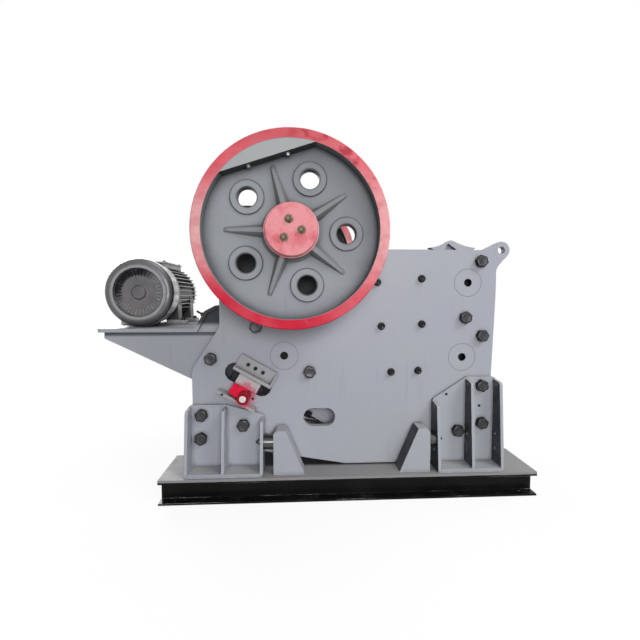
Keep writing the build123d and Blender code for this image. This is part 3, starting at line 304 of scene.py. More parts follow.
def machine_paint(name, colour, cast=0.0, crevice=0.045, dust=(0.36, 0.355, 0.345)):
    """Semi-gloss grey paint on rolled plate, or on rough castings."""
    finish = Finish(name)
    tone = weathered(finish, colour, (0.075, 0.072, 0.078), crevice, 0.5, dust)
    patches = finish.patches((9, 5), 0.35, 0.70, 0.40, 0.56)
    finish.set(base_color=tone, roughness=patches, metallic=0.0)
    heights = [(finish.noise(2.2, 2), 0.25, 0.004), (finish.noise(420, 2), 0.10, 0.0006)]
    if cast:
        heights.append((finish.noise(62, 5, 0.6), cast, 0.0022))
    finish.bump(heights, 0.0035)
    return finish


def repainted(finish, amount, colour):
    """Lays another colour over a finish where amount says."""
    socket = finish.shader.inputs["Base Color"]
    finish.feed(socket, finish.mix(amount, socket.links[0].from_socket, colour))
    return finish


def shaded_behind_wheels(finish):
    """Black painted shade on what lies behind the wheels."""
    ragged = finish.patches((5, 5), 0.3, 0.7, -0.05, 0.05)
    radius = finish.math("ADD", finish.radius_from(WHEEL_AXIS), ragged)
    outer = finish.ramp(finish.size(finish.y), 0.595, 0.615)
    wheel_shade = finish.both(outer, finish.ramp(radius, 0.52, 0.64, 0.94, 0.0))
    return repainted(finish, wheel_shade, (0.010, 0.011, 0.012))


def oversprayed(finish):
    """Red overspray round the setting cylinder."""
    ragged = finish.patches((22, 5, 0.65), 0.3, 0.7, -0.035, 0.035)
    radius = finish.math("ADD", finish.radius_from(SETTING_AXIS), ragged)
    return repainted(finish, finish.ramp(radius, 0.050, 0.125, 0.80, 0.0), (0.62, 0.080, 0.135))


def from_pins(finish):
    """Distance from the nearest locating pin's axis."""
    radii = [finish.radius_from(place) for place in PIN_BORES]
    return finish.math("MINIMUM", finish.math("MINIMUM", radii[0], radii[1]), radii[2])


def ringed(finish):
    """Thin line of dirt round the locating pins."""
    line = finish.ramp(finish.gap(from_pins(finish), PIN_R), 0.001, 0.005, 0.60, 0.0)
    return repainted(finish, line, (0.17, 0.175, 0.19))


def shade_in_pin_bores(finish):
    """Black painted shade in the bores of the locating pins."""
    dark = finish.ramp(from_pins(finish), PIN_BORE_R, PIN_BORE_R + 0.004, 1.0, 0.0)
    return repainted(finish, dark, (0.008, 0.008, 0.008))


def shade_behind_slot(finish):
    """Painted shade on what lies behind the setting slots."""
    behind = finish.ramp(finish.radius_from(SLOT_CENTRE), 0.20, 0.26, 0.92, 0.0)
    return repainted(finish, behind, SLOT_SHADE)


def jaw_paint(name, colour):
    """Paint of the swing jaw, pale on its lower part."""
    finish = machine_paint(name, colour, 0.22, 0.05)
    return repainted(finish, finish.ramp(finish.z, 0.95, 1.10, 0.9, 0.0), (0.72, 0.73, 0.72))


def side_paint(name, colour):
    """Paint of the side plates, with painted shade on the walls of the setting slot and behind the wheel."""
    finish = ringed(oversprayed(machine_paint(name, colour)))
    # Painted shade: dark on the walls of the setting slot.
    wall = finish.ramp(finish.size(finish.faces_y), 0.30, 0.60, 0.88, 0.0)
    slot = finish.ramp(finish.radius_from(SLOT_CENTRE), 0.20, 0.24, 1.0, 0.0)
    repainted(finish, finish.both(wall, slot), SLOT_SHADE)
    return shaded_behind_wheels(finish)


def bracket_paint(name, colour):
    """Paint of the brackets and stop blocks, with black painted shade on the inward faces of the front ones.
    """
    finish = machine_paint(name, colour)
    # Painted shade: near black on the front brackets' faces that look towards the motor's end.
    inward_shade = finish.ramp(finish.faces_x, -0.85, -0.60, 0.92, 0.0)
    inward_shade = finish.both(inward_shade, finish.ramp(finish.x, 0.0, 0.1))
    uneven = finish.patches((8, 5), 0.30, 0.70, 0.85, 1.0)
    return repainted(finish, finish.both(inward_shade, uneven), (0.026, 0.025, 0.031))


def base_paint(name, colour, dust):
    """Paint of the base plates, with black painted shade under the machine."""
    finish = machine_paint(name, colour, 0.0, 0.045, dust)
    # Painted shade: black under the machine.
    under = finish.ramp(finish.size(finish.y), 0.60, 0.66, 0.90, 0.0)
    under = finish.both(under, finish.ramp(finish.size(finish.x), 1.10, 1.25, 1.0, 0.0))
    return repainted(finish, under, (0.014, 0.014, 0.015))


def wedge_paint(name, colour):
    """Worn pale paint on the ends of the setting wedge, painted shade further in."""
    finish = machine_paint(name, colour)
    # Painted shade: dark on the part further in.
    inner_shade = finish.ramp(finish.size(finish.y), 0.53, 0.57, 0.95, 0.0)
    return repainted(finish, inner_shade, (0.020, 0.020, 0.026))


def slope_paint(name, colour):
    """Paint of the motor's support, with painted shade under its plate and where that bends up against the
    frame.
    """
    finish = machine_paint(name, colour, 0.0, 0.12, (0.22, 0.22, 0.22))
    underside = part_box("motor_plate")[0][2]
    # Painted shade: a dark band under the plate.
    shade_under_plate = finish.ramp(finish.z, underside - 0.045, underside - 0.020)
    shade_under_plate = finish.both(shade_under_plate, finish.ramp(finish.z, underside - 0.002, underside, 0.85, 0.0))
    repainted(finish, shade_under_plate, (0.060, 0.061, 0.068))
    # Painted shade: dark where the plate bends up.
    shade_at_bend = finish.ramp(finish.z, BEND_START, BEND_START + 0.05, 0.0, 0.90)
    return repainted(finish, shade_at_bend, (0.016, 0.016, 0.022))


def weight_paint(name, colour):
    """Paint of the balance weights, black on the cut face, as black paint and painted shade."""
    finish = machine_paint(name, colour, 0.15)
    # Black paint and painted shade on the cut face.
    reach = finish.reach_along(WHEEL_AXIS, WEIGHT_ANGLE)
    cut = finish.ramp(reach, WEIGHT_CHORD + 0.0005, WEIGHT_CHORD + 0.003, 0.9, 0.0)
    return repainted(finish, cut, (0.018, 0.018, 0.018))


def rim_paint(finish, grey, red_mask):
    """Red paint over grey, with painted light: deep low on the wheel where shade falls, pale towards the
    sides, the top and the right where light falls, and pale in patches.
    """
    across = finish.reach_along(WHEEL_AXIS, 0)
    height = finish.reach_along(WHEEL_AXIS, pi / 2)
    # Painted light and shade: paler at the sides, the top and the right, deeper low on the wheel.
    middle = finish.ramp(finish.size(height), 0.05, 0.56, 0.85, 0.0)
    crown = finish.ramp(height, 0.20, 0.66, 0.0, 0.50)
    lean = finish.ramp(across, -0.20, 0.60, 0.0, 0.28)
    pale = finish.math("ADD", finish.math("ADD", middle, crown), lean)
    pale = finish.math("ADD", pale, finish.patches((3.0, 4), 0.30, 0.70, -0.18, 0.18))
    red = finish.mix(pale, (0.54, 0.008, 0.036), (0.72, 0.205, 0.232))
    thin_and_lit = finish.both(middle, finish.patches((4.0, 4), 0.25, 0.60, 0.35, 0.95))
    red = finish.mix(thin_and_lit, red, (0.70, 0.40, 0.405))
    red = finish.mix(finish.ramp(height, 0.50, 0.70, 0.0, 0.60), red, (0.47, 0.075, 0.090))
    upper_right = finish.both(finish.ramp(height, 0.15, 0.50), finish.ramp(across, -0.05, 0.15))
    smears = finish.patches((7.5, 6, 0.62, (1, 1, 1.6)), 0.48, 0.62, 0.0, 0.85)
    smears = finish.both(smears, finish.math("ADD", finish.both(upper_right, 0.75), 0.25))
    red = finish.mix(smears, red, (0.36, 0.020, 0.036))
    dull = finish.patches((4.5, 5, 0.6, (1.4, 1, 1)), 0.60, 0.78, 0.0, 0.5)
    red = finish.mix(dull, red, (0.44, 0.17, 0.175))
    speck = finish.patches((55, 4), 0.60, 0.78, 0.0, 0.35)
    red = finish.mix(speck, red, (0.30, 0.035, 0.045))
    return finish.mix(red_mask, grey, red)


def wheel_finish(name, red_outside):
    """Grey cast wheel with a red rim, with painted shade round the steps of its bosses, round the mouths of
    their holes, on its side faces and towards its upper right.
    """
    finish = Finish(name)
    grey = weathered(finish, (0.275, 0.289, 0.308), (0.035, 0.037, 0.040), 0.070, 0.35, (0.30, 0.30, 0.295))
    radius = finish.radius_from(WHEEL_AXIS)
    outward = finish.size(finish.faces_y)
    face = finish.ramp(outward, 0.40, 0.60)
    soot = finish.both(finish.ramp(radius, 0.50, 0.66), finish.patches((5, 5, 0.6), 0.35, 0.70, 0.05, 0.45))
    grey = finish.mix(soot, grey, (0.15, 0.155, 0.16))
    # Painted shade: the web darker towards its upper right.
    upper_right = finish.ramp(finish.reach_along(WHEEL_AXIS, radians(40)), -0.15, 0.35, 0.0, 0.42)
    grey = finish.mix(upper_right, grey, (0.130, 0.138, 0.142))
    # Painted shade: faces that don't face out of the wheel, such as rib flanks and the inner rim, are darker.
    flat = finish.ramp(outward, 0.97, 0.995)
    grey = finish.mix(finish.math("SUBTRACT", 1.0, flat), grey, (0.19, 0.197, 0.203))
    # Dirt and painted shade in the corners round the ribs, the hub and the rim.
    grey = finish.dirt_and_shade(grey, 0.13, 0.75, (0.045, 0.047, 0.052))
    nearest = 1.0
    for angle in BOSS_ANGLES:
        centre = about(WHEEL_AXIS, BOSS_CIRCLE_R, angle)
        nearest = finish.math("MINIMUM", finish.radius_from(centre), nearest)
    # Painted shade: a dark, uneven line round the step of each boss.
    line = finish.ramp(finish.gap(nearest, BOSS_R + 0.002), 0.002, 0.008, 0.75, 0.0)
    line = finish.both(line, finish.patches((9, 4), 0.25, 0.6, 0.4, 1.0))
    grey = finish.mix(line, grey, (0.045, 0.047, 0.05))
    # Painted shade: darker round the mouth of each boss's hole.
    mouth = finish.ramp(nearest, BOSS_HOLE_R, BOSS_HOLE_R + 0.016, 0.65, 0.0)
    grey = finish.mix(mouth, grey, (0.085, 0.088, 0.092))
    if red_outside:
        face = finish.math("MAXIMUM", face, finish.ramp(radius, 0.722, 0.728))
    else:
        groove = finish.both(finish.ramp(radius, 0.70, 0.725), finish.math("SUBTRACT", 1.0, face))
        grey = finish.mix(groove, grey, (0.13, 0.13, 0.13))
    rim = finish.both(finish.ramp(radius, RIM_PAINT_R - 0.0015, RIM_PAINT_R + 0.0015), face)
    hub = finish.both(finish.ramp(radius, 0.196, 0.200), finish.ramp(radius, 0.207, 0.210, 1.0, 0.0))
    hub = finish.both(hub, finish.ramp(finish.size(finish.y), 1.0, 1.004))
    finish.set(base_color=rim_paint(finish, grey, finish.math("MAXIMUM", rim, hub)), metallic=0.0)
    finish.set(roughness=finish.patches((11, 5), 0.35, 0.70, 0.36, 0.52))
    finish.bump([(finish.noise(58, 5, 0.6), 0.16, 0.002), (finish.noise(420, 2), 0.10, 0.0006)], 0.004)
    return finish


def red_paint(name, pale, deep):
    """Brushed-on red paint of the hub caps and the setting cylinders."""
    finish = Finish(name)
    blot = finish.patches((6.5, 5, 0.6), 0.44, 0.70)
    tone = finish.mix(blot, pale, deep)
    tone = finish.mix(finish.patches((70, 4), 0.55, 0.80, 0.0, 0.30), tone, shaded(deep, 0.55, 0.55, 0.55))
    tone = finish.dirt_and_shade(tone, 0.02, 0.6, (0.09, 0.015, 0.02))
    worn_and_lit_edge = finish.both(finish.edge(0.003), finish.patches((40, 4), 0.48, 0.62, 0.0, 0.55))
    tone = finish.mix(worn_and_lit_edge, tone, shaded(pale, 1.0, 1.6, 1.5))
    finish.set(base_color=tone, roughness=finish.patches((14, 4), 0.35, 0.7, 0.32, 0.48), metallic=0.0)
    finish.bump([(finish.noise(160, 4), 0.12, 0.0008)], 0.003)
    return finish


def setting_paint(name):
    """Bright red paint of the setting cylinders, darker on the ring round the rod."""
    finish = red_paint(name, (0.80, 0.012, 0.055), (0.62, 0.008, 0.032))
    radius = finish.radius_from(SETTING_AXIS)
    ring = finish.ramp(radius, SETTING_RING_R - 0.001, SETTING_RING_R + 0.002, 0.88, 0.0)
    return repainted(finish, ring, (0.19, 0.004, 0.014))


def black_gloss(name):
    """Thick black gloss paint on the sill beams, a little wavy, dusty on its ledges, with painted highlight
    streaks along its edges.
    """
    finish = Finish(name, 0.08)
    tone = finish.mix(finish.patches((2.5, 4), 0.35, 0.7), (0.0045, 0.004, 0.0045), (0.009, 0.008, 0.009))
    dust = finish.both(finish.ramp(finish.faces_z, 0.7, 0.95), finish.patches((9, 5), 0.45, 0.75, 0.0, 0.14))
    tone = finish.mix(dust, tone, (0.13, 0.12, 0.11))
    # Painted highlight: pale streaks along the edges stand in for reflections on the flanges.
    worn_and_lit_edge = finish.both(finish.edge(0.006), finish.patches((2.4, 5, 0.55, (0.8, 9, 9)), 0.50, 0.60, 0.02, 0.9))
    tone = finish.mix(worn_and_lit_edge, tone, (0.46, 0.46, 0.45))
    finish.set(base_color=tone, roughness=finish.patches((4, 5), 0.3, 0.7, 0.16, 0.30), metallic=0.0)
    waves = finish.noise(3.5, 3, 0.5, (0.6, 3, 3))
    finish.bump([(waves, 0.30, 0.004), (finish.noise(240, 2), 0.08, 0.0006)], 0.004)
    return finish


def bare_metal(name, colour, rough, mottle, stain, brush=None):
    """Bare steel with stains and fine marks."""
    finish = Finish(name)
    tone = finish.mix(finish.patches((14, 5, 0.6), 0.38, 0.72), colour, mottle)
    tone = finish.mix(finish.patches((60, 5), 0.60, 0.80, 0.0, 0.6), tone, stain)
    tone = finish.dirt_and_shade(tone, 0.015, 0.6, (0.02, 0.018, 0.016))
    finish.set(base_color=tone, metallic=0.85)
    finish.set(roughness=finish.patches((30, 5), 0.35, 0.7, rough - 0.08, rough + 0.12))
    marks = finish.noise(180, 3, 0.6, brush) if brush else finish.noise(210, 4)
    finish.bump([(marks, 0.16, 0.0008)], 0.002)
    return finish


def bolt_steel(name, flank, crown):
    """Oil-blackened steel of the bolts, greyer on their ends."""
    finish = bare_metal(name, flank, 0.36, shaded(flank, 1.6, 1.6, 1.5), (0.09, 0.075, 0.055))
    end = finish.ramp(finish.size(finish.faces_y), 0.90, 0.97)
    rough = finish.patches((130, 5, 0.65), 0.38, 0.62, 0.15, 1.0)
    return repainted(finish, finish.both(end, rough), crown)


def jaw_steel(name):
    """Rough cast manganese steel, brown in its hollows and rubbed on its crests."""
    finish = Finish(name)
    tone = finish.mix(finish.patches((6, 6, 0.6), 0.35, 0.7), (0.120, 0.108, 0.10), (0.185, 0.165, 0.150))
    tone = finish.mix(finish.patches((34, 5), 0.56, 0.75, 0.0, 0.7), tone, (0.16, 0.085, 0.05))
    tone = finish.dirt_and_shade(tone, 0.05, 0.5, (0.04, 0.03, 0.025))
    tone = finish.mix(finish.both(finish.edge(0.008), 0.5), tone, (0.34, 0.33, 0.32))
    finish.set(base_color=tone, metallic=0.55, roughness=finish.patches((18, 5), 0.3, 0.7, 0.42, 0.62))
    finish.bump([(finish.noise(45, 6, 0.65), 0.35, 0.003), (finish.noise(260, 3), 0.2, 0.0008)], 0.006)
    return finish


def rubber(name):
    """Black rubber with a grey bloom."""
    finish = Finish(name, 0.9)
    bloom = finish.patches((22, 5), 0.45, 0.8, 0.0, 0.5)
    tone = finish.mix(bloom, (0.012, 0.012, 0.013), (0.030, 0.030, 0.031))
    tone = finish.dirt_and_shade(tone, 0.02, 0.5, (0.004, 0.004, 0.004))
    finish.set(base_color=tone, metallic=0.0, roughness=finish.patches((40, 4), 0.3, 0.7, 0.15, 0.26))
    finish.bump([(finish.noise(320, 3), 0.1, 0.0004)])
    return finish


def motor_paint(name, colour, gap, depth):
    """Silver-grey enamel of the motor, dark between its fins as soot and painted shade."""
    finish = Finish(name)
    tone = finish.mix(finish.patches((3.2, 4), 0.35, 0.68), colour, shaded(colour, 1.3, 1.28, 1.25))
    tone = finish.mix(finish.patches((120, 3), 0.40, 0.75, 0.0, 0.25), tone, shaded(colour, 0.6, 0.6, 0.6))
    # Soot and painted shade between the fins and in other corners.
    tone = finish.dirt_and_shade(tone, gap, depth, (0.010, 0.010, 0.011))
    worn_and_lit_edge = finish.both(finish.edge(0.003), finish.patches((30, 5), 0.42, 0.62, 0.0, 0.6))
    tone = finish.mix(worn_and_lit_edge, tone, (0.52, 0.52, 0.52))
    finish.set(base_color=tone, metallic=0.5, roughness=finish.patches((16, 4), 0.3, 0.7, 0.26, 0.42))
    finish.bump([(finish.noise(380, 2), 0.14, 0.0006), (finish.noise(12, 3), 0.10, 0.002)], 0.003)
    return finish


def motor_body_paint(name, colour):
    """Enamel of the motor's body, black with soot above its feet."""
    finish = motor_paint(name, colour, 0.06, 0.85)
    soot = finish.ramp(finish.z, FOOT_TOP, FOOT_TOP + 0.012)
    soot = finish.both(soot, finish.ramp(finish.z, FOOT_TOP + 0.07, FOOT_TOP + 0.20, 0.85, 0.0))
    return repainted(finish, soot, (0.020, 0.020, 0.022))


def fan_cover_paint(name):
    """Enamel of the fan cover, brighter silver on its skirt with painted reflection bands, a painted
    highlight on its lip, and painted shade round its slots on the upper left.
    """
    finish = motor_paint(name, (0.122, 0.119, 0.126), 0.03, 0.6)
    # Painted reflection: light and dark bands across the silver skirt.
    reflection_bands = finish.patches((1.0, 2, 0.5, (0.5, 0.5, 11)), 0.38, 0.58)
    silver = finish.mix(reflection_bands, (0.42, 0.425, 0.425), (0.88, 0.89, 0.89))
    radius = finish.radius_from(MOTOR_AXIS)
    outside = finish.ramp(radius, 0.270, 0.280)
    skirt = finish.ramp(finish.y, FAN_SKIRT_Y - 0.004, FAN_SKIRT_Y + 0.004)
    repainted(finish, finish.both(skirt, outside), silver)
    seam = finish.ramp(finish.gap(finish.y, FAN_SKIRT_Y), 0.004, 0.012, 0.9, 0.0)
    repainted(finish, finish.both(seam, outside), (0.010, 0.010, 0.011))
    # Painted highlight: a lighter ring on the lip of the cover's eye.
    lip_highlight = finish.both(finish.ramp(radius, 0.222, 0.232), finish.ramp(radius, 0.240, 0.262, 0.55, 0.0))
    front = finish.ramp(finish.y, FAN_SKIRT_Y - 0.030, FAN_SKIRT_Y - 0.020, 1.0, 0.0)
    repainted(finish, finish.both(lip_highlight, front), (0.42, 0.42, 0.43))
    # Painted shade: dark round the slots on the upper left, where the recess lies in shade.
    pressed = finish.both(finish.ramp(radius, 0.150, 0.172), finish.ramp(radius, 0.218, 0.228, 1.0, 0.0))
    recess_shade = finish.ramp(finish.reach_along(MOTOR_AXIS, FAN_SHADE_ANGLE), 0.0, 0.15)
    blotch = finish.both(pressed, finish.patches((11, 4), 0.25, 0.55, 0.45, 1.0))
    return repainted(finish, finish.both(blotch, recess_shade), (0.012, 0.011, 0.014))


def screen_metal(name):
    """Fine wire screen behind the slots of the fan cover, with painted shade on its upper left."""
    finish = Finish(name)
    waves = [finish.math("SINE", finish.both(place, 1500)) for place in (finish.x, finish.z)]
    wires = finish.math("MAXIMUM", *waves)
    tone = finish.mix(finish.ramp(wires, 0.2, 0.8), (0.26, 0.26, 0.26), (0.42, 0.42, 0.42))
    # Painted shade: dark on the upper left, where the recess lies in shade.
    recess_shade = finish.ramp(finish.reach_along(MOTOR_AXIS, FAN_SHADE_ANGLE), -0.03, 0.10)
    tone = finish.mix(recess_shade, tone, (0.010, 0.010, 0.012))
    finish.set(base_color=tone, metallic=0.0, roughness=finish.patches((50, 3), 0.3, 0.7, 0.45, 0.60))
    finish.bump([(wires, 0.3, 0.0006)])
    return finish


def weld_metal(name):
    """Painted weld bead, a little darker than the plate."""
    finish = Finish(name)
    tone = finish.mix(finish.patches((70, 4), 0.35, 0.7), (0.27, 0.275, 0.30), (0.36, 0.365, 0.39))
    tone = finish.mix(finish.patches((14, 4), 0.55, 0.8, 0.0, 0.6), tone, (0.14, 0.135, 0.13))
    finish.set(base_color=tone, metallic=0.0, roughness=finish.patches((50, 3), 0.3, 0.7, 0.36, 0.56))
    finish.bump([(finish.noise(240, 4), 0.3, 0.001)])
    return finish


PLATE_GREY = (0.374, 0.392, 0.428)
CAST_GREY = (0.360, 0.372, 0.400)
SIDE_PAINT = side_paint("side_plate_paint", PLATE_GREY)
FRAME_PAINT = machine_paint("frame_paint", PLATE_GREY)
PIN_PAINT = shade_in_pin_bores(ringed(machine_paint("locating_pin_paint", PLATE_GREY, 0.0, 0.02)))
CAST_PAINT = shade_behind_slot(shade_in_pin_bores(machine_paint("casting_paint", CAST_GREY, 0.22, 0.07)))
HOUSING_PAINT = shaded_behind_wheels(machine_paint("bearing_housing_paint", CAST_GREY, 0.22, 0.07))
JAW_PAINT = jaw_paint("swing_jaw_paint", (0.390, 0.400, 0.425))
SLOPE_PAINT = slope_paint("motor_support_paint", PLATE_GREY)
BRACKET_PAINT = bracket_paint("bracket_paint", PLATE_GREY)
GUIDE_PAINT = oversprayed(machine_paint("guide_paint", (0.365, 0.370, 0.380)))
WEDGE_PAINT = oversprayed(wedge_paint("setting_wedge_paint", (0.52, 0.52, 0.52)))
BASE_PAINT = base_paint("base_plate_paint", (0.265, 0.260, 0.264), (0.260, 0.254, 0.256))
WEIGHT_PAINT = weight_paint("balance_weight_paint", (0.350, 0.363, 0.370))
FLYWHEEL_PAINT = wheel_finish("flywheel_paint", True)
DRIVE_WHEEL_PAINT = wheel_finish("drive_wheel_paint", False)
CAP_PAINT = red_paint("hub_cap_paint", (0.70, 0.265, 0.285), (0.60, 0.115, 0.140))
CYLINDER_PAINT = setting_paint("setting_cylinder_paint")
BEAM_PAINT = black_gloss("beam_paint")
BOLT_STEEL = bolt_steel("blackened_bolt", (0.015, 0.015, 0.016), (0.078, 0.079, 0.082))
CAP_BOLT_STEEL = bolt_steel("browned_bolt", (0.030, 0.022, 0.016), (0.105, 0.078, 0.058))
SCREW_STEEL = bolt_steel("dark_screw", (0.010, 0.010, 0.011), (0.022, 0.022, 0.022))
BRIGHT_STEEL = bare_metal(
    "bright_steel", (0.60, 0.59, 0.57), 0.34, (0.46, 0.45, 0.43), (0.30, 0.26, 0.22), (1, 30, 30),
)
SHAFT_STEEL = bare_metal(
    "shaft_steel", (0.42, 0.42, 0.42), 0.34, (0.33, 0.32, 0.31), (0.20, 0.16, 0.12), (1, 40, 1),
)
SPRING_STEEL = bare_metal(
    "spring_steel", (0.060, 0.060, 0.062), 0.40, (0.090, 0.088, 0.085), (0.13, 0.075, 0.045),
)
JAW_STEEL = jaw_steel("jaw_steel")
BUFFER_RUBBER = rubber("buffer_rubber")
MOTOR_PAINT = motor_body_paint("motor_paint", (0.300, 0.300, 0.305))
COVER_PAINT = fan_cover_paint("fan_cover_paint")
SCREEN_METAL = screen_metal("fan_screen_metal")
WELD_PAINT = weld_metal("weld_paint")

# What a node's name starts with, and its finish; the first that fits counts
PART_FINISHES = (
    ("side_plate", SIDE_PAINT), ("locating_pins", PIN_PAINT), ("base_plate", BASE_PAINT),
    ("sill_beams", BEAM_PAINT), ("cross_beams", BEAM_PAINT), ("flywheel", FLYWHEEL_PAINT),
    ("drive_wheel", DRIVE_WHEEL_PAINT), ("hub_cap", CAP_PAINT), ("balance_weight", WEIGHT_PAINT),
    ("setting_cylinder", CYLINDER_PAINT), ("setting_rod", BRIGHT_STEEL), ("setting_wedge", WEDGE_PAINT),
    ("upper_guide", GUIDE_PAINT), ("lower_guide", GUIDE_PAINT), ("tension", SHAFT_STEEL),
    ("eccentric_shaft", SHAFT_STEEL), ("motor_shaft", SHAFT_STEEL), ("motor_pulley", SHAFT_STEEL),
    ("fixed_jaw_plate", JAW_STEEL), ("swing_jaw_plate", JAW_STEEL), ("cheek_plates", JAW_STEEL),
    ("buffers", BUFFER_RUBBER), ("motor_body", MOTOR_PAINT), ("terminal_box", MOTOR_PAINT),
    ("motor_fan_cover", COVER_PAINT), ("motor_plate", SLOPE_PAINT), ("motor_web", SLOPE_PAINT),
    ("stop_blocks", BRACKET_PAINT), ("rear_bracket", BRACKET_PAINT), ("front_bracket", BRACKET_PAINT),
    ("bearing_housing", HOUSING_PAINT), ("front_frame", CAST_PAINT), ("rear_frame", CAST_PAINT),
    ("swing_jaw", JAW_PAINT), ("toggle_plate", CAST_PAINT),
)


def finish_of(name):
    for start, finish in PART_FINISHES:
        if name.startswith(start):
            return finish
    return FRAME_PAINT


# Modelling by hand
def fresh():
    """Leaves edit mode and lets go of everything."""
    if bpy.context.object and bpy.context.object.mode != "OBJECT":
        bpy.ops.object.mode_set(mode="OBJECT")
    bpy.ops.object.select_all(action="DESELECT")


def take(piece):
    """Selects one piece only."""
    fresh()
    piece.select_set(True)
    bpy.context.view_layer.objects.active = piece


# Finishes of the solids
for name, part in parts.items():
    part.data.materials.clear()
    part.data.materials.append(finish_of(name).material)
    take(part)
    bpy.ops.object.shade_smooth_by_angle(angle=radians(28))


def pick(piece, kind, test):
    """Selects the faces or edges that pass a test, in edit mode."""
    bpy.ops.object.mode_set(mode="EDIT")
    bpy.ops.mesh.select_mode(type=kind)
    bpy.ops.mesh.select_all(action="DESELECT")
    bpy.ops.object.mode_set(mode="OBJECT")
    for element in piece.data.polygons if kind == "FACE" else piece.data.edges:
        element.select = test(element)
    bpy.ops.object.mode_set(mode="EDIT")


def faces_up(face):
    return face.normal.z > 0.9


def soften(piece, width):
    """Rounds the sharp edges of a piece."""
    take(piece)
    modifier = piece.modifiers.new("round", "BEVEL")
    modifier.width = width
    modifier.segments = 2
    modifier.limit_method = "ANGLE"
    modifier.angle_limit = radians(40)
    bpy.ops.object.modifier_apply(modifier=modifier.name)


def joined(name, pieces):
    """Joins pieces into one with its place in its mesh."""
    fresh()
    for piece in pieces:
        piece.select_set(True)
    bpy.context.view_layer.objects.active = pieces[0]
    if len(pieces) > 1:
        bpy.ops.object.join()
    whole = bpy.context.object
    whole.name = name
    whole.data.name = name
    bpy.ops.object.transform_apply(location=True, rotation=True, scale=True)
    return whole


def upright(sides, radius, height, base=0.0):
    """Upright bar, round or with flats, its top face picked."""
    fresh()
    middle = (0, 0, base + height / 2)
    bpy.ops.mesh.primitive_cylinder_add(vertices=sides, radius=radius, depth=height, location=middle)
    bar = bpy.context.object
    pick(bar, "FACE", faces_up)
    return bar


def cuboid(size, middle):
    """Plain block with its size in its mesh."""
    fresh()
    bpy.ops.mesh.primitive_cube_add(size=1, location=middle)
    block = bpy.context.object
    block.scale = size
    bpy.ops.object.transform_apply(location=True, rotation=True, scale=True)
    return block


def hexagon(across, height, base=0.0):
    """Hexagon with its upper corners turned off."""
    body = upright(6, across / 2, height, base)
    bpy.ops.mesh.inset(thickness=across * 0.055, depth=across * 0.03)
    bpy.ops.mesh.inset(thickness=across * 0.07, depth=0)
    return body


def heavy_head(across, height):
    """Hexagon head of a large bolt, flat on top."""
    head = hexagon(across, height)
    bpy.ops.mesh.inset(thickness=across * 0.02, depth=-across * 0.006)
    soften(head, across * 0.014)
    return joined("heavy_head", [head])


def hex_head(across, height, washer):
    """Hexagon bolt head with a dished top on a round washer."""
    head = hexagon(across, height, washer)
    bpy.ops.mesh.inset(thickness=across * 0.03, depth=-across * 0.02)
    soften(head, across * 0.016)
    ring = upright(40, across * 0.60, washer)
    bpy.ops.mesh.inset(thickness=washer * 0.4, depth=0)
    soften(ring, washer * 0.25)
    return joined("hex_head", [ring, head])


def hex_nut(across, height, stud_r, rise):
    """Hexagon nut on the end of a stud with a turned-off tip."""
    nut = hexagon(across, height)
    soften(nut, across * 0.014)
    stud = upright(28, stud_r, height + rise)
    bpy.ops.mesh.inset(thickness=stud_r * 0.14, depth=stud_r * 0.12)
    bpy.ops.mesh.inset(thickness=stud_r * 0.50, depth=0)
    bpy.ops.mesh.inset(thickness=stud_r * 0.10, depth=-stud_r * 0.10)
    soften(stud, stud_r * 0.04)
    return joined("hex_nut", [nut, stud])


def socket_head(radius, height):
    """Round screw head with a hexagon socket."""
    head = upright(30, radius, height)
    bpy.ops.mesh.inset(thickness=radius * 0.12, depth=radius * 0.08)
    bpy.ops.mesh.inset(thickness=radius * 0.36, depth=0)
    bpy.ops.mesh.inset(thickness=0, depth=-height * 0.55)
    soften(head, radius * 0.05)
    return joined("socket_head", [head])


def corner_gusset(reach, height, thick):
    """Three-cornered gusset that stands on a flange, against the plate behind it."""
    plate = cuboid((thick, reach, height), (0, reach / 2, height / 2))
    corners = plate.data.vertices

    def at_top_corner(edge):
        return all(corners[i].co.y > 0 and corners[i].co.z > 0 for i in edge.vertices)

    pick(plate, "EDGE", at_top_corner)
    bpy.ops.transform.translate(value=(0, -reach * 0.75, 0))
    soften(plate, thick * 0.12)
    return plate


def rib_flanks():
    """Flanks of a wheel's rib, lying along X, wide and tall at the hub and low at the other end."""
    start, end = RIB_REACH
    size = (end - start, 2 * RIB_FOOT[0], RIB_HEIGHT[0])
    rib = cuboid(size, ((start + end) / 2, 0, RIB_HEIGHT[0] / 2))
    pick(rib, "FACE", lambda face: face.normal.x > 0.9)
    taper = (1, RIB_FOOT[1] / RIB_FOOT[0], RIB_HEIGHT[1] / RIB_HEIGHT[0])
    bpy.ops.transform.resize(value=taper, center_override=(end, 0, 0))
    corners = rib.data.vertices
    for x, foot, crest in zip(RIB_REACH, RIB_FOOT, RIB_CREST):

        def over_end(edge):
            places = [corners[i].co for i in edge.vertices]
            return all(abs(place.x - x) < 0.001 and place.z > 0.001 for place in places)

        pick(rib, "EDGE", over_end)
        bpy.ops.transform.resize(value=(1, crest / foot, 1), center_override=(x, 0, 0))
    soften(rib, 0.002)
    return rib


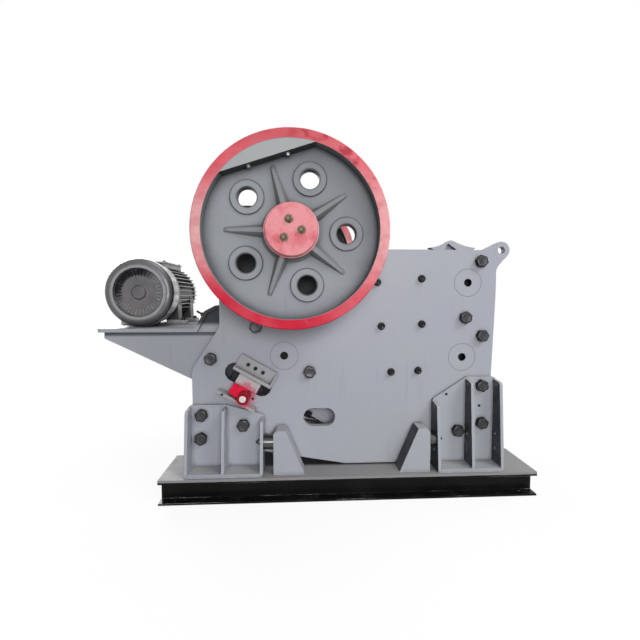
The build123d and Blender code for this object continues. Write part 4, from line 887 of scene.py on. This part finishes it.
def coil_spring(radius, wire_r, length, turns):
    """Coil spring standing on its end, wound from round wire."""
    fresh()
    bpy.ops.mesh.primitive_circle_add(
        vertices=14, radius=wire_r, fill_type="NGON", location=(radius, 0, wire_r), rotation=(pi / 2, 0, 0),
    )
    coil = bpy.context.object
    bpy.ops.object.transform_apply(location=True, rotation=True, scale=True)
    pick(coil, "FACE", lambda face: True)
    bpy.ops.mesh.delete(type="ONLY_FACE")
    bpy.ops.object.mode_set(mode="OBJECT")
    winding = coil.modifiers.new("winding", "SCREW")
    winding.axis = "Z"
    winding.angle = 2 * pi
    winding.iterations = turns
    winding.screw_offset = (length - 2 * wire_r) / turns
    winding.steps = 40
    winding.render_steps = 40
    bpy.ops.object.modifier_apply(modifier=winding.name)
    bpy.ops.object.mode_set(mode="EDIT")
    bpy.ops.mesh.select_all(action="SELECT")
    bpy.ops.mesh.remove_doubles(threshold=0.0001)
    bpy.ops.mesh.fill_holes(sides=0)
    bpy.ops.mesh.normals_make_consistent(inside=False)
    bpy.ops.object.mode_set(mode="OBJECT")
    return coil


def standing(place, facing, turn=0.0):
    """Matrix that stands a piece at a place, its top pointing along facing."""
    stand = Vector(facing).to_track_quat("Z", "Y").to_matrix().to_4x4()
    return Matrix.Translation(place) @ stand @ Matrix.Rotation(turn, 4, "Z")


def settle(piece, finish, body):
    """Gives a finished piece its finish and the body that carries it."""
    piece.data.materials.clear()
    piece.data.materials.append(finish.material)
    take(piece)
    bpy.ops.object.shade_smooth_by_angle(angle=radians(35))
    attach(piece, body)


def spread(name, pattern, seats, finish, body="frame"):
    """Sets copies of a fastener on its seats, each turned a little differently, as one piece."""
    copies = []
    for count, (place, facing) in enumerate(seats):
        copy = pattern.copy()
        copy.data = pattern.data.copy()
        bpy.context.scene.collection.objects.link(copy)
        copy.data.transform(standing(place, facing, radians(17 + 37 * count)))
        copies.append(copy)
    settle(joined(name, copies), finish, body)


def facing_to(first, second, third, place):
    """Matrix that lays a piece's X, Y and Z along three directions, at a place."""
    return Matrix.Translation(place) @ Matrix((first, second, third)).transposed().to_4x4()


def bead(start, end, radius):
    """Weld bead between two places, rippled along its run."""
    run = Vector(end) - Vector(start)
    rings = max(6, int(run.length / (radius * 0.9)))
    fresh()
    bpy.ops.mesh.primitive_cylinder_add(vertices=8, radius=radius, depth=run.length, end_fill_type="TRIFAN")
    line = bpy.context.object
    corners = line.data.vertices

    def runs_along(edge):
        first, second = [corners[i].co.z for i in edge.vertices]
        return abs(first - second) > run.length * 0.9

    pick(line, "EDGE", runs_along)
    bpy.ops.mesh.subdivide(number_cuts=rings)
    bpy.ops.object.mode_set(mode="OBJECT")
    for corner in corners:
        swell = 1 + 0.16 * sin(corner.co.z / (radius * 0.30)) + 0.07 * sin(corner.co.z * 91)
        corner.co.x *= swell
        corner.co.y *= swell
    line.data.transform(standing((Vector(start) + Vector(end)) / 2, run))
    return line


# Fastener patterns
frame_head = heavy_head(0.108, 0.044)
jaw_nut = hex_nut(0.104, 0.042, 0.029, 0.013)
cap_head = hex_head(0.054, 0.017, 0.004)
buffer_nut = hex_nut(0.046, 0.020, 0.012, 0.016)
jack_nut = hex_nut(0.038, 0.016, 0.009, 0.046)
cheek_head = hex_head(0.055, 0.028, 0.005)
small_head = hex_head(0.040, 0.018, 0.005)
tiny_head = hex_head(0.022, 0.010, 0.003)
weight_head = hex_head(0.030, 0.012, 0.004)
cap_screw = socket_head(0.0155, 0.014)
set_screw = socket_head(0.010, 0.006)

# Fasteners on both sides of the machine
for side, out in SIDES:
    outward = (0, out, 0)

    def seats(places, depth):
        return [((x, out * depth, z), outward) for x, z in places]

    spread(f"frame_bolts_{side}", frame_head, seats(FRAME_BOLTS, SIDE_FACE), BOLT_STEEL)
    spread(f"cheek_bolts_{side}", cheek_head, seats(CHEEK_BOLTS, SIDE_FACE), SCREW_STEEL)
    spread(f"bracket_bolts_{side}", frame_head, seats(BRACKET_BOLTS, BRACKET_FACE), BOLT_STEEL)
    spread(f"bracket_screws_{side}", set_screw, seats(BRACKET_SCREWS, BRACKET_FACE), SCREW_STEEL)
    guide_places = [on_slot(*place) for place in GUIDE_SCREWS]
    spread(f"guide_screws_{side}", cap_screw, seats(guide_places, GUIDE_FACE), SCREW_STEEL)
    edge_screws = seats([on_slot(*GUIDE_EDGE_SCREW)], GUIDE_EDGE) + seats([SIDE_SCREW], SIDE_FACE)
    spread(f"setting_screws_{side}", set_screw, edge_screws, SCREW_STEEL)
    cap_places = [about(WHEEL_AXIS, CAP_BOLT_R, radians(angle)) for angle in CAP_BOLT_ANGLES]
    spread(f"cap_bolts_{side}", cap_head, seats(cap_places, CAP_FACE), CAP_BOLT_STEEL, "rotor")
    ring_angles = [2 * pi * (i + 0.5) / HOUSING_BOLTS for i in range(HOUSING_BOLTS)]
    ring_places = [about(WHEEL_AXIS, HOUSING_BOLT_R, angle) for angle in ring_angles]
    spread(f"housing_bolts_{side}", small_head, seats(ring_places, HOUSING_FACE), BOLT_STEEL)
    chord = (cos(WEIGHT_ANGLE), sin(WEIGHT_ANGLE))
    weight_seats = []
    for along in WEIGHT_BOLTS:
        x = WHEEL_AXIS[0] + WEIGHT_CHORD * chord[0] + along * chord[1]
        z = WHEEL_AXIS[1] + WEIGHT_CHORD * chord[1] - along * chord[0]
        weight_seats.append(((x, out, z), (-chord[0], 0, -chord[1])))
    spread(f"weight_bolts_{side}", weight_head, weight_seats, BRIGHT_STEEL, "rotor")
    rear_gusset = GUSSETS["rear"][-1][0] - GUSSET_HALF
    front_gusset = GUSSETS["front"][0][0] + GUSSET_HALF
    buffer_seats = [
        ((rear_gusset, out * BUFFER_OUT, BUFFER_HEIGHT), (-1, 0, 0)),
        ((front_gusset, out * BUFFER_OUT, BUFFER_HEIGHT), (1, 0, 0)),
    ]
    spread(f"buffer_bolts_{side}", buffer_nut, buffer_seats, BOLT_STEEL)

# Fasteners of the motor and the front frame
foot_seats = []
lid_seats = []
for turn in (-1, 1):
    foot_x = MOTOR_AXIS[0] + turn * FOOT_BOLT_OUT
    foot_seats += [((foot_x, y, FOOT_TOP), UPWARD) for y in FOOT_BOLTS_Y]
    lid_x = MOTOR_AXIS[0] + turn * LID_SCREW_OUT
    lid_seats += [((lid_x, y, LID_TOP), UPWARD) for y in LID_SCREWS_Y]
spread("motor_foot_bolts", small_head, foot_seats, BOLT_STEEL)
spread("terminal_box_screws", tiny_head, lid_seats, BOLT_STEEL)
cover_seats = []
for angle in FAN_SCREW_ANGLES:
    x, z = about(MOTOR_AXIS, FAN_SKIRT_R, radians(angle))
    cover_seats.append(((x, FAN_SCREW_Y, z), (cos(radians(angle)), 0, sin(radians(angle)))))
spread("fan_cover_screws", tiny_head, cover_seats, BOLT_STEEL)
jack_seats = [((JACK_PLACE[0], out * JACK_OUT, JACK_PLACE[1]), JACK_FACING) for side, out in SIDES]
spread("motor_jack_screws", jack_nut, jack_seats, SCREW_STEEL)
jaw_seats = []
for z in JAW_BOLT_ROWS:
    x = FRONT_WALL_FOOT[0] + (z - FRONT_WALL_FOOT[1]) * FRONT_WALL_LEAN
    jaw_seats += [((x, y, z), (1, 0, -FRONT_WALL_LEAN)) for y in JAW_BOLT_COLUMNS]
spread("fixed_jaw_bolts", jaw_nut, jaw_seats, BOLT_STEEL)
patterns = (
    frame_head, jaw_nut, cap_head, buffer_nut, jack_nut, cheek_head, small_head, tiny_head, weight_head,
    cap_screw, set_screw,
)
for pattern in patterns:
    bpy.data.objects.remove(pattern)

# Gussets at the lower ends of the upper guides
for side, out in SIDES:
    gusset = corner_gusset(*GUIDE_GUSSET_SIZE)
    x, z = on_slot(*GUIDE_GUSSET)
    along = Vector((cos(SLOT_ANGLE), 0, -sin(SLOT_ANGLE))) * out
    above = Vector((sin(SLOT_ANGLE), 0, cos(SLOT_ANGLE)))
    gusset.data.transform(facing_to(along, Vector((0, out, 0)), above, (x, out * GUIDE_FACE, z)))
    settle(joined(f"guide_gusset_{side}", [gusset]), GUIDE_PAINT, "frame")

# Flanks of the wheels' ribs
for side, out in SIDES:
    ribs = []
    outward = Vector((0, out, 0))
    centre = (WHEEL_AXIS[0], out * WEB_FACE, WHEEL_AXIS[1])
    for angle in RIB_ANGLES:
        rib = rib_flanks()
        along = Vector((cos(angle), 0, sin(angle)))
        rib.data.transform(facing_to(along, outward.cross(along), outward, centre))
        ribs.append(rib)
    finish = FLYWHEEL_PAINT if side == "near" else DRIVE_WHEEL_PAINT
    settle(joined(f"rib_flanks_{side}", ribs), finish, "rotor")

# Wire screen behind the fan cover's slots
screen = upright(72, FAN_SCREEN_R, FAN_SCREEN_THICK, -FAN_SCREEN_THICK / 2)
bpy.ops.mesh.inset(thickness=FAN_SCREEN_HEM[0], depth=0)
bpy.ops.mesh.inset(thickness=FAN_SCREEN_HEM[1], depth=-FAN_SCREEN_THICK * 0.4)
soften(screen, FAN_SCREEN_THICK * 0.2)
screen.data.transform(standing((MOTOR_AXIS[0], FAN_SCREEN_Y, MOTOR_AXIS[1]), (0, -1, 0)))
settle(joined("fan_screen", [screen]), SCREEN_METAL, "frame")

# Spring of the tension rod
spring = coil_spring(SPRING_R, SPRING_WIRE_R, SPRING_LENGTH, SPRING_TURNS)
spring.data.transform(standing(SPRING_START, SPRING_FACING))
settle(joined("tension_coil", [spring]), SPRING_STEEL, "frame")
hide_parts("tension_spring")

# Weld beads of the brackets and stop blocks
for side, out in SIDES:
    beads = []
    foot = out * BRACKET_FOOT
    face = out * BRACKET_FACE
    for gussets in GUSSETS.values():
        first, last = gussets[0][0], gussets[-1][0]
        beads.append(bead((first, foot, BASE_TOP), (last, foot, BASE_TOP), FOOT_BEAD_R))
        for x, top in gussets:
            for flank in (-1, 1):
                if (x, flank) not in ((first, -1), (last, 1)):
                    edge_x = x + flank * GUSSET_HALF
                    corner = (edge_x, face, BRACKET_FLOOR)
                    beads.append(bead(corner, (edge_x, face, top - GUSSET_BEAD_END), GUSSET_BEAD_R))
                    beads.append(bead(corner, (edge_x, foot, BRACKET_FLOOR), GUSSET_BEAD_R))
    for left, right in STOP_BLOCKS:
        stop = out * STOP_FACE
        beads.append(bead((left, stop, BASE_TOP), (right, stop, BASE_TOP), FOOT_BEAD_R))
    settle(joined(f"bracket_welds_{side}", beads), WELD_PAINT, "frame")

# Camera at the photograph's place
camera = bpy.data.objects.new("camera", bpy.data.cameras.new("camera"))
bpy.context.scene.collection.objects.link(camera)
camera.location = CAMERA_PLACE
camera.rotation_euler = (radians(90 - CAMERA_DIP), 0, radians(CAMERA_TURN))
camera.data.sensor_width = 36
camera.data.lens = 21.6
camera.data.clip_end = 200
bpy.context.scene.camera = camera


def seen_directly(tree):
    """One for rays that show the surroundings themselves, also in metal, nought for rays that carry light."""
    rays = tree.nodes.new("ShaderNodeLightPath")
    shown = rays.outputs["Is Camera Ray"]
    for name in ("Is Glossy Ray", "Is Transmission Ray"):
        either = tree.nodes.new("ShaderNodeMath")
        either.operation = "MAXIMUM"
        tree.links.new(shown, either.inputs[0])
        tree.links.new(rays.outputs[name], either.inputs[1])
        shown = either.outputs["Value"]
    return shown


# White floor that keeps a soft shadow near the machine
fresh()
bpy.ops.mesh.primitive_plane_add(size=FLOOR_SIZE, location=(0, 0, 0))
floor = bpy.context.object
floor.name = "floor"
floor_finish = Finish("floor_white")
shown = seen_directly(floor_finish.tree)
places = (floor_finish.x, floor_finish.y)
squares = [floor_finish.both(place, place) for place in places]
distance = floor_finish.math("SQRT", floor_finish.math("ADD", *squares))
beyond = [
    floor_finish.ramp(floor_finish.size(place), half - 0.04, half) for place, half in zip(places, BASE_HALF)
]
outside = floor_finish.math("MAXIMUM", *beyond)
bright = floor_finish.both(outside, floor_finish.ramp(distance, 1.6, 3.2, 0.90, 1.0))
glow = floor_finish.node("ShaderNodeEmission")
blend = floor_finish.node("ShaderNodeMixShader")
floor_finish.feed(blend.inputs["Fac"], floor_finish.both(shown, bright))
floor_finish.feed(blend.inputs[1], floor_finish.shader.outputs["BSDF"])
floor_finish.feed(blend.inputs[2], glow.outputs["Emission"])
floor_finish.feed(floor_finish.tree.nodes["Material Output"].inputs["Surface"], blend.outputs["Shader"])
floor_finish.set(base_color=floor_finish.mix(shown, (0.18, 0.18, 0.18), (0.85, 0.85, 0.85)), roughness=0.9)
floor.data.materials.append(floor_finish.material)

# White surroundings with a weaker, soft light of their own, dimmer on the motor's side
world = bpy.data.worlds.new("studio")
bpy.context.scene.world = world
world.use_nodes = True
sky = world.node_tree
soft = sky.nodes["Background"]
soft.inputs["Color"].default_value = (0.95, 0.97, 1.0, 1)
way = sky.nodes.new("ShaderNodeSeparateXYZ")
sky.links.new(sky.nodes.new("ShaderNodeTexCoord").outputs["Generated"], way.inputs["Vector"])
brightness = sky.nodes.new("ShaderNodeMapRange")
sky.links.new(way.outputs["X"], brightness.inputs["Value"])
for name, value in (("From Min", -0.5), ("From Max", 0.5), ("To Min", 0.08), ("To Max", 0.24)):
    brightness.inputs[name].default_value = value
sky.links.new(brightness.outputs["Result"], soft.inputs["Strength"])
white = sky.nodes.new("ShaderNodeBackground")
white.inputs["Color"].default_value = (1, 1, 1, 1)
white.inputs["Strength"].default_value = 1.0
choose = sky.nodes.new("ShaderNodeMixShader")
sky.links.new(seen_directly(sky), choose.inputs["Fac"])
sky.links.new(soft.outputs["Background"], choose.inputs[1])
sky.links.new(white.outputs["Background"], choose.inputs[2])
sky.links.new(choose.outputs["Shader"], sky.nodes["World Output"].inputs["Surface"])


def lamp(name, place, power):
    """Soft square studio lamp aimed at the middle of the machine."""
    made = bpy.data.objects.new(name, bpy.data.lights.new(name, "AREA"))
    bpy.context.scene.collection.objects.link(made)
    made.data.size = LAMP_SIZE
    made.data.energy = power
    made.location = place
    made.rotation_euler = (Vector(LAMP_AIM) - Vector(place)).to_track_quat("-Z", "Y").to_euler()


lamp("key", (7.0, -6.5, 9.0), 600)
lamp("fill", (0.4, -9.0, 3.0), 515)
lamp("top", (0.5, 0.5, 8.0), 230)
lamp("rear", (-6.0, 7.0, 5.0), 800)
lamp("side", (9.0, 3.0, 4.0), 330)

bpy.context.scene.view_settings.view_transform = "Standard"
